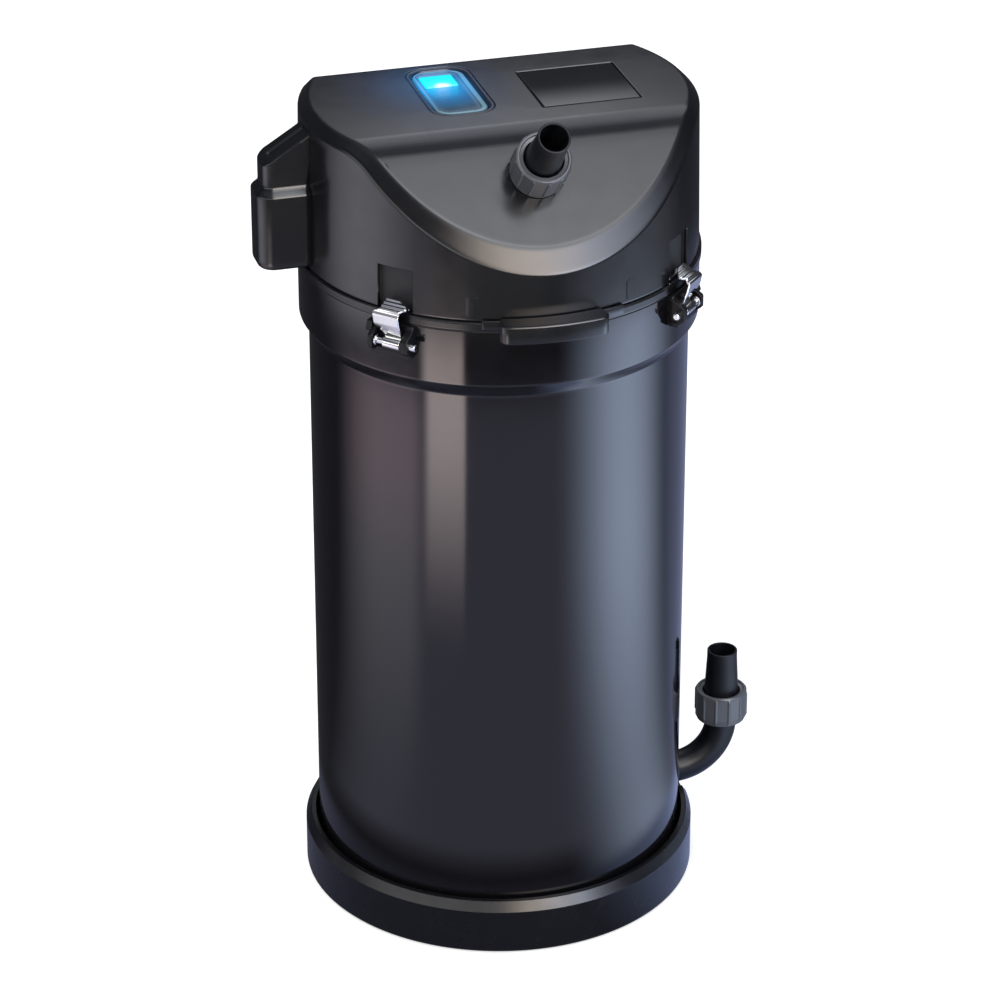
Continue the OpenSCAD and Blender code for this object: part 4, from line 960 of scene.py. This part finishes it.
def clamping_nut(taper=0.0):
    """Radius = wall + relief(angle) x fade(height), along a closed profile: up the outside, over
    the rim, down the stepped mouth and the thread's bore. The relief is the larger of a round rib
    and of the flat between two ribs, whose radius is 11.2 / cos(15 degrees - angle from the rib).
    A taper narrows the nut's foot."""
    outside = soften([[10.2, 0], [wall_r - taper, 0], [wall_r, 0.6 + 2.2 * (taper > 0)],
                      [wall_r, 13.9], [10.9, 14.5], [10.1, 14.5], [9.9, 13.8], [8.4, 13.6],
                      [8.4, 12.4], [9.1, 12], [9.1, 9.5], [9.81, 9.5], [9.81, 0]],
                     [0, 0.25, 0.25, 0.3, 0.25, 0.15, 0.1, 0.2, 0.1, 0.1, 0.1, 0.1, 0.15],
                     4, closed=True)
    long_edge = int(np.argmax(np.diff(outside[:, 1])))
    extra = np.linspace(outside[long_edge], outside[long_edge + 1], 12)[1:-1]
    outside = np.insert(outside, long_edge + 1, extra, 0)
    a = np.linspace(0, 2 * np.pi, 288, endpoint=False)
    near = (a + half_pitch) % (2 * half_pitch) - half_pitch
    beside_rib = wall_r * np.sin(near)
    rib = wall_r * np.cos(near) + np.sqrt(np.maximum(rib_r ** 2 - beside_rib ** 2, 0))
    rib = np.where(np.abs(beside_rib) < rib_r, rib, 0)
    relief = np.maximum(rib, flat_r / np.cos(half_pitch - np.abs(near))) - wall_r
    r, h = outside.T
    fade = smooth(h, 0.6 + taper, 1.6 + taper) * (1 - smooth(h, 13.2, 13.9)) * (r > flat_r)
    radius = r[:, None] + fade[:, None] * relief[None, :]
    return np.stack([radius * np.cos(a), radius * np.sin(a), h[:, None] + 0 * a], -1)


slope_angle = 45
outlet_axis = np.array([0, -np.sin(np.radians(slope_angle)), np.cos(np.radians(slope_angle))])
nut_seat = np.array([0, -55.5, 350.3]) + 0.4 * outlet_axis
on_slope = turned(clamping_nut(), 0, slope_angle, nut_seat)
on_elbow = clamping_nut(0.6) + [104, 0, 52]
make_piece("outlet_clamp_nut", [grid(on_slope, wrap_rows=True)],
           nut_plastic, "outlet_nut", ["outlet_nut"])
make_piece("inlet_clamp_nut", [grid(on_elbow, wrap_rows=True)],
           nut_plastic, "inlet_nut", ["inlet_nut"])

# %% [markdown]
# A tail is a short tapered pipe over which the hose is pushed, above a threaded collar and a
# ledge where the hose stops. The outlet's is straight, so it is turned. The inlet's follows a
# path: straight out of the canister, round a bend of 21.5 mm, and up. A circle is carried along
# that path, and its radius changes along the way. Both profiles turn in at the tip and come back
# as the bore, so the wall has its real thickness.

# %% Spigot and elbow
tail = [[9.75, 1], [9.75, 9], [8.45, 9], [8.45, 10.5], [7.8, 10.5], [6.7, 30.5], [6.7, 34],
        [5.8, 34]]
tail_radii = [0.3, 0.5, 0.1, 0.4, 0.2, 2.0, 0.3, 0.25]
spigot_profile = soften([[5, -65.9], [7, -65.9], [7, -8.4], [10.6, -8.4], [10.6, -5.4], [7, -5.4],
                         [7, 1], *tail],
                        [0.2, 0.2, 0, 0.3, 0.3, 0, 0, *tail_radii], 5, closed=True)
spigot = turned(revolve(spigot_profile, 96), 0, slope_angle, nut_seat)
make_piece("outlet_tail", [grid(spigot, wrap_rows=True)],
           pipe_plastic, "filter", ["outlet_spigot"])

bend_at, bend_radius = 82.5, 21.5


def elbow_path(s):
    """Place and direction at a length s along the elbow: a line, a quarter circle and a line."""
    t = np.clip(s / bend_radius, 0, np.pi / 2)
    x = bend_at + np.minimum(s, 0) + bend_radius * np.sin(t)
    z = inlet_height + bend_radius * (1 - np.cos(t)) + np.maximum(s - bend_radius * np.pi / 2, 0)
    return x, z, t


foot = bend_radius * np.pi / 2 + 1.5
tube = soften([[5, -17.7], [7, -17.7], [7, foot + 1], *[[r, foot + h] for r, h in tail]],
              [0.2, 0.3, 0, *tail_radii], 5, closed=True)
spacing = 1.2  # between the rings of points along the bend
stations = np.concatenate([np.linspace(p, q, max(2, int(abs(q[1] - p[1]) / spacing)), endpoint=False)
                           for p, q in zip(tube, np.roll(tube, -1, 0))])
r, s = stations.T
x, z, t = elbow_path(s)
a = np.linspace(0, 2 * np.pi, 72, endpoint=False)
x = x[:, None] - r[:, None] * np.cos(a) * np.sin(t)[:, None]
z = z[:, None] + r[:, None] * np.cos(a) * np.cos(t)[:, None]
make_piece("inlet_elbow_pipe", [grid(np.stack([x, r[:, None] * np.sin(a), z], -1), wrap_rows=True)],
           pipe_plastic, "elbow", ["inlet_elbow"])

# Nitrile rubber, pressed in a plain mould: the grommet in which the elbow turns
rubber = moulded("black rubber", "#101011", "#161617", 0.55, ior=1.52, grain=0.3, depth=0.01)
grommet_profile = soften([[7.05, -3], [12, -3], [12, 0], [8.95, 0], [8.95, 7], [10.2, 7],
                          [10.2, 8.2], [7.05, 8.2]],
                         [0.2, 0.5, 0.2, 0.1, 0.1, 0.3, 0.55, 0.4], 5, closed=True)
grommet = turned(revolve(grommet_profile, 96), 1, 90, (73.6, 0, inlet_height))
make_piece("inlet_seal", [grid(grommet, wrap_rows=True)],
           rubber, "filter", ["inlet_grommet"])

# %% [markdown]
# ## The clips
# Four clips pull the head onto the canister. Each has a black bracket on the collar, a steel pin
# and a chrome lever. The lever is one strip of spring steel: rolled round the pin, up as a plate,
# folded into a ridged thumb rest, and down into the hook on the flange. So it is a flat section
# with round edges, carried along a bent centre line, while its width follows the outline of the
# stamped sheet.

# %% The lever
pin_y, pin_z = -88.5, 286.0
roll_radius = 2.03
roll = np.radians(np.linspace(390, 100, 36))
roll = np.stack([pin_y + roll_radius * np.cos(roll), pin_z + roll_radius * np.sin(roll)], 1)
sheet = soften([roll[-1], [-87.7, 288.2], [-90.2, 294.6], [-91.35, 299.7], [-90.3, 298.7],
                [-89.8, 300.4], [-83.6, 303.0], [-82.0, 301.6], [-82.0, 298.8]],
               [0, 0.5, 3, 0.45, 0.4, 0.5, 0.9, 0.9, 0], 5, 0.1)
strip, along = resampled(np.concatenate([roll, sheet[1:]]), 0.2)

# The sheet's outline: a foot on one side only, a plate, and a thumb rest that is cut at a slant.
# The two edges are distances from the lever's middle line.
at_height = np.interp(strip[:, 1], [289.5, 294.5], [0, 1])
on_thumb = smooth(strip[:, 0], -90.1, -89.7) * (strip[:, 1] > 299.5)
from_fold = np.clip(strip[:, 0] + 89.9, 0, 7.9)
wing_edge = -6 + 4 * (1 - smooth(at_height, 0, 1)) + on_thumb * 2.6
free_edge = 6 + on_thumb * (1.9 * smooth(from_fold, 0, 2.5) - 7.6 * smooth(from_fold, 2.4, 7.6))

# Pressed ridges across the thumb rest, 1.9 mm apart and 0.32 mm high
ridge_pitch, half_height = 1.9, 0.16
ridge_wave = 1 + np.cos(2 * np.pi * (along - along[-1]) / ridge_pitch)
ridges = half_height * on_thumb * (1 - smooth(strip[:, 0], -83.9, -83.3)) * ridge_wave


def lever_points(wing):
    """Point = centre line + across x width + thickness x normal. The section is a rounded
    rectangle, 0.94 mm thick, and the ridges are added on its upper side. Wing is 1 or -1, the
    side along X to which the sheet's foot is cut away."""
    side = np.gradient(strip, axis=0)
    side /= np.linalg.norm(side, axis=1, keepdims=True)
    normal = np.stack([-side[:, 1], side[:, 0]], 1)
    a = np.radians(np.linspace(0, 90, 5))[None, :] + np.radians([0, 90, 180, 270])[:, None]
    sx = (np.array([1, -1, -1, 1])[:, None] + 0 * a).ravel()
    sy = (np.array([1, 1, -1, -1])[:, None] + 0 * a).ravel()
    a, edge_radius, thickness = a.ravel(), 0.36, 0.94
    low, high = (wing_edge, free_edge) if wing < 0 else (-free_edge, -wing_edge)
    half = (high - low)[:, None] / 2 - edge_radius
    x = (low + high)[:, None] / 2 + sx * half + edge_radius * np.cos(a)
    lift = sy * (thickness / 2 - edge_radius) + edge_radius * np.sin(a)
    lift = lift + np.where(sy > 0, ridges[:, None], 0)
    return np.stack([x, strip[:, :1] + normal[:, :1] * lift,
                     strip[:, 1:] + normal[:, 1:] * lift], -1)


print("the strip is", round(float(along[-1]), 1), "mm long, on", len(strip), "stations")

# %% [markdown]
# ### Chrome and steel
# Chrome plate is a mirror with a light grey of its own, over steel that was stamped and polished,
# so what shows is the roughness of fine polishing lines, drawn out along the height. The pins are
# drawn steel: duller, with a finer and even grain from the drawing die.

# %% Chrome and steel


def worked_metal(name, colour, other, grain, smoothest, roughest, along_z=1.0):
    """Metal whose colour and roughness vary with one noise. Its grain is a size in millimetres,
    drawn out along Z where the factor is less than 1."""
    material, tree, _ = new_material(name, Metallic=1.0)
    stretched = add(tree, "Mapping", {"Vector": place_on(tree), "Scale": (1.0, 1.0, along_z)})
    marks = noise(tree, stretched.outputs[0], grain, 3.0)
    feed(tree, "Base Color", mixed(tree, marks, colour, other))
    roughen(tree, marks, smoothest, roughest)
    return material


# Chromium over nickel on stamped spring steel, polished before plating
chrome = worked_metal("chrome plate on spring steel", "#dcdcdc", "#f0f0ee", 0.5, 0.07, 0.16, 0.12)
# Stainless wire, drawn through a die and cut
steel = worked_metal("drawn stainless steel", "#c9ccd1", "#e2e4e8", 0.4, 0.16, 0.28)
print("metals:", chrome.name, "and", steel.name)

# %% [markdown]
# ### Brackets, pins and levers
# A bracket's cheeks are flat plates, stacked from their side view. They are unequal: one is thick,
# and the thin one carries a wing. All four clips come from the same functions and are turned to
# their places about Z. Two are the mirror image of the others, so their wings change sides.

# %% Brackets, pins and levers
cheek = soften([[-88.5, 281.4], [-83.1, 281.4], [-83.1, 292], [-85.5, 292], [-91.1, 288.6],
                [-91.1, 283.4]],
               [0.6, 0, 0, 0.8, 1.2, 1.2], 4, 0, closed=True)
wing_side = soften([[-89.1, 289], [-83.1, 289], [-83.1, 293.4], [-87.5, 293.4]],
                   [0.6, 0, 0, 0.6], 4, 0, closed=True)


def side_slab(outline, x0, x1):
    """A plate whose side view is the outline, between two distances along X."""
    return stack(outline, min(x0, x1), max(x0, x1), 0.35)[..., [2, 0, 1]]


def bracket_points(wing):
    """Grids of a bracket: a thin cheek and a wing on one side, a thick cheek on the other, a back
    plate and a foot. The wing is 1 or -1, the side along X on which it stands."""
    back = stack(rounded_rectangle(18.4, 13.6, 1.2, -0.6 * wing, 286.8), -85.9, -83.5, 0.4)
    back = back[..., [0, 2, 1]]
    under = stack(rounded_rectangle(18.4, 4.8, 0.8, -0.6 * wing, -86.1), 280.0, 283.2, 0.4)
    return [side_slab(cheek, wing * 6.4, wing * 8.6), side_slab(cheek, -wing * 6.4, -wing * 9.8),
            side_slab(wing_side, wing * 8.3, wing * 10.8), back, under]


def pin_points(wing):
    """A rod with a retaining ring near one end, turned about X."""
    low, high = wing * 7.7 - 0.4, wing * 7.7 + 0.4
    rod, ring, end = 1.5, 2.4, 10.5
    profile = soften([[0, -end], [rod, -end], [rod, low], [ring, low], [ring, high], [rod, high],
                      [rod, end], [0, end]],
                     [0, 0.45, 0.05, 0.2, 0.2, 0.05, 0.45, 0], 5)
    return revolve(profile, 48)[..., [2, 0, 1]] + [-2.1 * wing, pin_y, pin_z]


for where, wing in (("front_left", -1), ("front_right", 1), ("rear_left", 1), ("rear_right", -1)):
    angle = clip_angles[where]
    make_piece("bracket_" + where,
               [grid(turned(p, 2, angle), caps=True) for p in bracket_points(wing)],
               bracket_plastic, "filter", ["clip_bracket_" + where], quiet=True)
    make_piece("pin_" + where, [grid(turned(pin_points(wing), 2, angle))], steel, "filter",
               ["clip_pin_" + where], quiet=True)
    make_piece("lever_" + where, [grid(turned(lever_points(wing), 2, angle), caps=True)], chrome,
               "clip_" + where, ["clip_lever_" + where], sharp=60)

# %% [markdown]
# ## The button
# The pump's large push button sits in the plateau: a bezel let in flush, a cap that moves in it,
# and a window that glows. All three are rounded rectangles at different heights, so each is a
# stack of loops. The cap has a raised rim and a sunk face. Its underside is hollow, which closes
# its grid into a ring through the window's hole.

# %% Bezel, cap and window
window_at, window_size = (-20.4, 19.2), (14.0, 12.5, 1.0)
cap_size = (22.0, 49.0, 6.5)
cap_top = top - 0.5
# ABS with a satin skin, a shade lighter than the hood
bezel_plastic = moulded("black ABS, satin bezel", "#191a1d", "#1e1f22", 0.26,
                        ior=1.54, grain=0.5, depth=0.004)

# The bezel: up its outer side, over a rounded edge, and down a wide slope to the cap
bezel_loops = loops(grown(bezel_hole, -0.1), button_at, top,
                    [(0, -1.6), (0, -0.35), (-0.1, -0.1), (-0.35, 0), (-0.7, 0)])
bezel_loops += loops(cap_hole, button_at, top,
                     [(1.2, 0), (0.9, -0.08), (0.5, -0.4), (0.2, -0.9), (0.05, -1.3), (0, -1.6)])
make_piece("button_surround", [grid(crowned(np.stack(bezel_loops)), wrap_rows=True)],
           bezel_plastic, "filter", ["button_bezel"])

# The cap: up through the window's hole, out over the sunk face, up its inner edge, over the rim,
# down the outside, and back under. The face is moulded a little off the middle, so the rim is
# wider on the right and in front.
face_at = (button_at[0] - 0.55, button_at[1] + 0.5)
cap_loops = loops(window_size, window_at, cap_top, [(0.05, -2.4), (0.05, -0.75), (0.3, -0.6)])
cap_loops += loops(cap_size, face_at, cap_top, [(-2.5, -0.6), (-2.3, -0.6), (-2.1, -0.55),
                                                (-1.8, -0.2), (-1.6, -0.04), (-1.45, 0)])
cap_loops += loops(cap_size, button_at, cap_top,
                   [(-0.8, -0.02), (-0.45, -0.12), (-0.15, -0.4), (-0.02, -0.8), (0, -1.2),
                    (0, -2.4), (0, -2.6), (1.2, -2.6), (1.2, -3.6), (-1.6, -3.6), (-1.6, -2.4)])
window_loops = loops(window_size, window_at, cap_top,
                     [(-0.5, -1.6), (0, -1.6), (0, -0.55), (-0.15, -0.38), (-0.5, -0.3),
                      (-0.9, -0.3)])
print("loops of the cap:", len(cap_loops))

# %% [markdown]
# ### The light in the button
# The window is clear blue-green plastic over a lamp. The lamp stands near the window's front edge,
# so the glow is white there and turns to cyan around it, with a strength that falls with the
# distance. Into the smoked translucent cap a glow is painted: close to the window its face is
# painted blue as if lit, and the blue dies away over three centimetres. A fainter painted glow, a
# pool of the button's light, lies on the bezel and the hood as well. All three are a colour that
# depends on the distance from the lamp, so one function makes them.

# %% Light of the lamp, and painted glow round it


def light_round(tree, place, lamp_at, reach, strength, stops, squash=(1.0, 1.0, 1.0)):
    """A glow of a strength whose colour goes through (share of the reach, colour) stops, with the
    distance from a point. The point and the reach are in millimetres. A squash below 1 makes the
    glow longer along that axis."""
    shift = add(tree, "VectorMath", {0: place, 1: [c / 1000 for c in lamp_at]}, operation="SUBTRACT")
    scaled = add(tree, "VectorMath", {0: shift.outputs[0], 1: squash}, operation="MULTIPLY")
    far_off = add(tree, "VectorMath", {0: scaled.outputs[0]}, operation="LENGTH").outputs["Value"]
    ramp = add(tree, "ValToRGB", {0: calculate(tree, "MULTIPLY", far_off, 1000 / reach)})
    elements = ramp.color_ramp.elements
    while len(elements) < len(stops):
        elements.new(0.5)
    for element, (position, colour) in zip(elements, stops):
        element.position, element.color = position, linear(colour)
    feed(tree, "Emission Color", ramp.outputs["Color"])
    tree.nodes["Principled BSDF"].inputs["Emission Strength"].default_value = strength


# Clear polycarbonate, coloured through, over the lamp
window_light, tree, _ = new_material("clear cyan polycarbonate, lit", Roughness=0.12, IOR=1.58)
place = place_on(tree)
light_round(tree, place, (-20.2, 13.4, 363.6), 16, 1.1,
            [(0.0, "#ffffff"), (0.1, "#e8ffff"), (0.26, "#38f4ff"), (0.5, "#00e6ff"),
             (1.0, "#00cdf4")])
feed(tree, "Base Color", mixed(tree, noise(tree, place, 1.5, 2.0), "#0c6f86", "#0a86a0"))

# Smoked polycarbonate from a polished mould; its raised rim is coloured a lighter blue-grey than the
# sunk face
cap_plastic, tree, _ = new_material("smoked translucent polycarbonate", IOR=1.58)
place = place_on(tree)
# Painted glow: blue emission that fades with the distance from the lamp and stands in for its light
# in the cap
light_round(tree, place, (-22.0, 13.0, 363.4), 40, 1.0,
            [(0.0, "#12a4ee"), (0.2, "#0b8cd2"), (0.38, "#08629a"), (0.62, "#07344f"),
             (1.0, "#02080c")])
haze = noise(tree, place, 5, 2.0)
rim_foot, rim_height = 0.36338, 0.36358  # metres
height = add(tree, "SeparateXYZ", {0: place}).outputs["Z"]
on_rim = add(tree, "MapRange", {"Value": height, 1: rim_foot, 2: rim_height}).outputs[0]
smoked = mixed(tree, haze, "#27323c", "#2f3c46")
feed(tree, "Base Color", mixed(tree, on_rim, smoked, "#5a7883"))
roughen(tree, haze, 0.16, 0.22)

# Painted light: the button's blue spill, put on the hood and the bezel as a faint emission that fades
# with the distance
for plastic in (head_plastic, bezel_plastic):
    tree = plastic.node_tree
    light_round(tree, place_on(tree), (-28, 12, 364), 50, 0.5,
                [(0.0, "#0a5a90"), (0.3, "#063c68"), (0.5, "#021e3e"), (0.75, "#010a1c"),
                 (1.0, "#000000")], squash=(1.0, 0.8, 1.0))

make_piece("button_push_cap", [grid(crowned(np.stack(cap_loops)), wrap_rows=True)],
           cap_plastic, "button", ["button_cap"])
make_piece("button_window", [grid(crowned(np.stack(window_loops)), caps=True)],
           window_light, "button", ["light_window"])

# %% [markdown]
# ## The panel
# A blank display panel lies in a shallow recess on the right. It is a sheet of black acrylic:
# glossier than the moulded head, with a thin chamfer that draws a bright line along its front. It
# is a rounded rectangle in loops, and its face is slightly crowned: within 10 mm of the line
# y = -10 it sinks by 0.00087 x (y + 10)^2 mm, and beyond that along a straight line. So what it
# mirrors runs from dark at the back to light in front. The whole face is lifted by 0.36 mm, which
# keeps its edges nearly flush with the plateau.

# %% The panel
# Cast acrylic sheet, cut and polished: its surface is flatter than any moulding's
panel_gloss = moulded("black acrylic, polished", "#111215", "#141519", 0.09,
                      ior=1.49, grain=2.0, depth=0.001, wave=30)
panel_loops = crowned(np.stack(loops(
    panel_hole, panel_at, top, [(-0.4, -1.0), (-0.08, -1.0), (-0.08, -0.75), (-0.14, -0.64),
                                (-0.56, -0.2), (-0.7, -0.15), (-0.9, -0.15)])))

# More points on each straight side, and then the last loop shrinks towards its middle
side = np.linspace(0, 1, 18)[None, :-1, None]
ends = panel_loops.reshape(len(panel_loops), 4, 9, 3)
straight = ends[:, :, -1:] + (np.roll(ends, -1, 1)[:, :, :1] - ends[:, :, -1:]) * side
panel_loops = np.concatenate([ends[:, :, :-1], straight], 2).reshape(len(panel_loops), -1, 3)
shrinks = np.linspace(1, 0, 14)[1:-1, None, None]
middle = np.mean(panel_loops[-1], axis=0)
face = np.concatenate([panel_loops, middle + (panel_loops[-1] - middle) * shrinks])

crest_y, bent, steepness, lifted = -10, 10, 0.0174, 0.36
from_crest = np.abs(face[..., 1] - crest_y)
sag = steepness / (2 * bent) * np.minimum(from_crest, bent) ** 2
sag = sag + steepness * np.maximum(from_crest - bent, 0) - lifted
face[..., 2] -= np.where(face[..., 2] > top - 0.9, sag, 0)
make_piece("panel_sheet", [grid(face, caps=True)],
           panel_gloss, "filter", ["panel_inlay"])

# %% [markdown]
# ## What is hidden inside
# The pump, the filter media and the seals keep their CAD shapes, because they are plain technical
# shapes already and nobody sees them without opening the filter. Each still gets its real
# material: foam with pores, fleece with fibres, fired ceramic, ferrite, copper and laminate.

# %% Materials of the inner parts


def porous(name, colour, other, size, depth, roughness, kind="TexVoronoi"):
    """Matter with pores or grains of one size in millimetres: their edges are darker and lower."""
    material, tree, _ = new_material(name, Roughness=roughness)
    pores = add(tree, kind, {"Vector": place_on(tree), "Scale": 1000 / size}).outputs[0]
    feed(tree, "Base Color", mixed(tree, pores, colour, other))
    emboss(tree, pores, depth)
    return material


def layered(name, colour, other, roughness, pitch=0.5):
    """Metal in layers or turns, stacked along Z with a pitch in millimetres."""
    material, tree, _ = new_material(name, Metallic=1.0, Roughness=roughness)
    bands = add(tree, "TexWave", {"Vector": place_on(tree), "Scale": 1000 / pitch / 20,
                                  "Distortion": 0.0}, bands_direction="Z").outputs[0]
    feed(tree, "Base Color", mixed(tree, bands, colour, other))
    return material


# The media: fired rings, foam cut from a block, needled fleece and sintered granules. The motor:
# pressed and sintered ferrite. The board: pressed laminate, and parts cast in epoxy. Mouldings of
# polypropylene and nylon, natural or coloured through. Wound wire, and a stack of stamped sheets.
ceramic = porous("fired alumina and porous ceramic", "#efeade", "#d3ccba", 0.8, 0.05, 0.6, "TexNoise")
coarse_foam = porous("open polyurethane foam, coarse", "#16406e", "#2d6fb5", 2.4, 0.8, 0.9)
fine_fleece = porous("polyester fleece", "#f4f3ef", "#dcdad2", 0.6, 0.3, 0.95, "TexNoise")
granules = porous("sintered clay granules", "#8a7a5e", "#c3b492", 5.0, 1.5, 0.85)
ferrite = porous("sintered ferrite", "#3b3d42", "#54565c", 0.5, 0.02, 0.4, "TexNoise")
laminate = porous("glass laminate, green", "#174a2e", "#226540", 0.7, 0.02, 0.35, "TexNoise")
black_epoxy = porous("moulded epoxy", "#1b1d22", "#262930", 0.4, 0.01, 0.45, "TexNoise")
screen_plastic = moulded("green polypropylene", "#2b6649", "#32734f", 0.38, ior=1.49)
natural_plastic = moulded("natural nylon", "#c6c9cc", "#d4d6d8", 0.35, ior=1.53)
copper = layered("enamelled copper wire", "#7d3f17", "#c9752f", 0.3)
sheet_steel = layered("laminated electrical steel", "#6d7177", "#999da3", 0.42)

finishes = {
    "inlet_retainer": natural_plastic, "lower_screen": screen_plastic,
    "upper_screen": screen_plastic, "media_rings": ceramic, "coarse_pad": coarse_foam,
    "media_bed": granules, "fine_pad": fine_fleece, "head_gasket": rubber, "head_screws": steel,
    "cable_gland": rubber, "impeller_cover": natural_plastic, "impeller": natural_plastic,
    "rotor_magnet": ferrite, "pump_shaft": ceramic, "lower_bush": rubber, "upper_bush": rubber,
    "stator_core": sheet_steel, "stator_coils": copper, "control_board": laminate,
    "board_parts": black_epoxy, "outlet_o_ring": rubber,
}
shown = [o for o in scene.objects if "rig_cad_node" in o and not o.hide_render]
for part in shown:
    finish = finishes[part["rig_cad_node"]]
    part.data.materials.clear()
    part.data.materials.append(finish)
print("CAD nodes that are still shown:", len(shown))
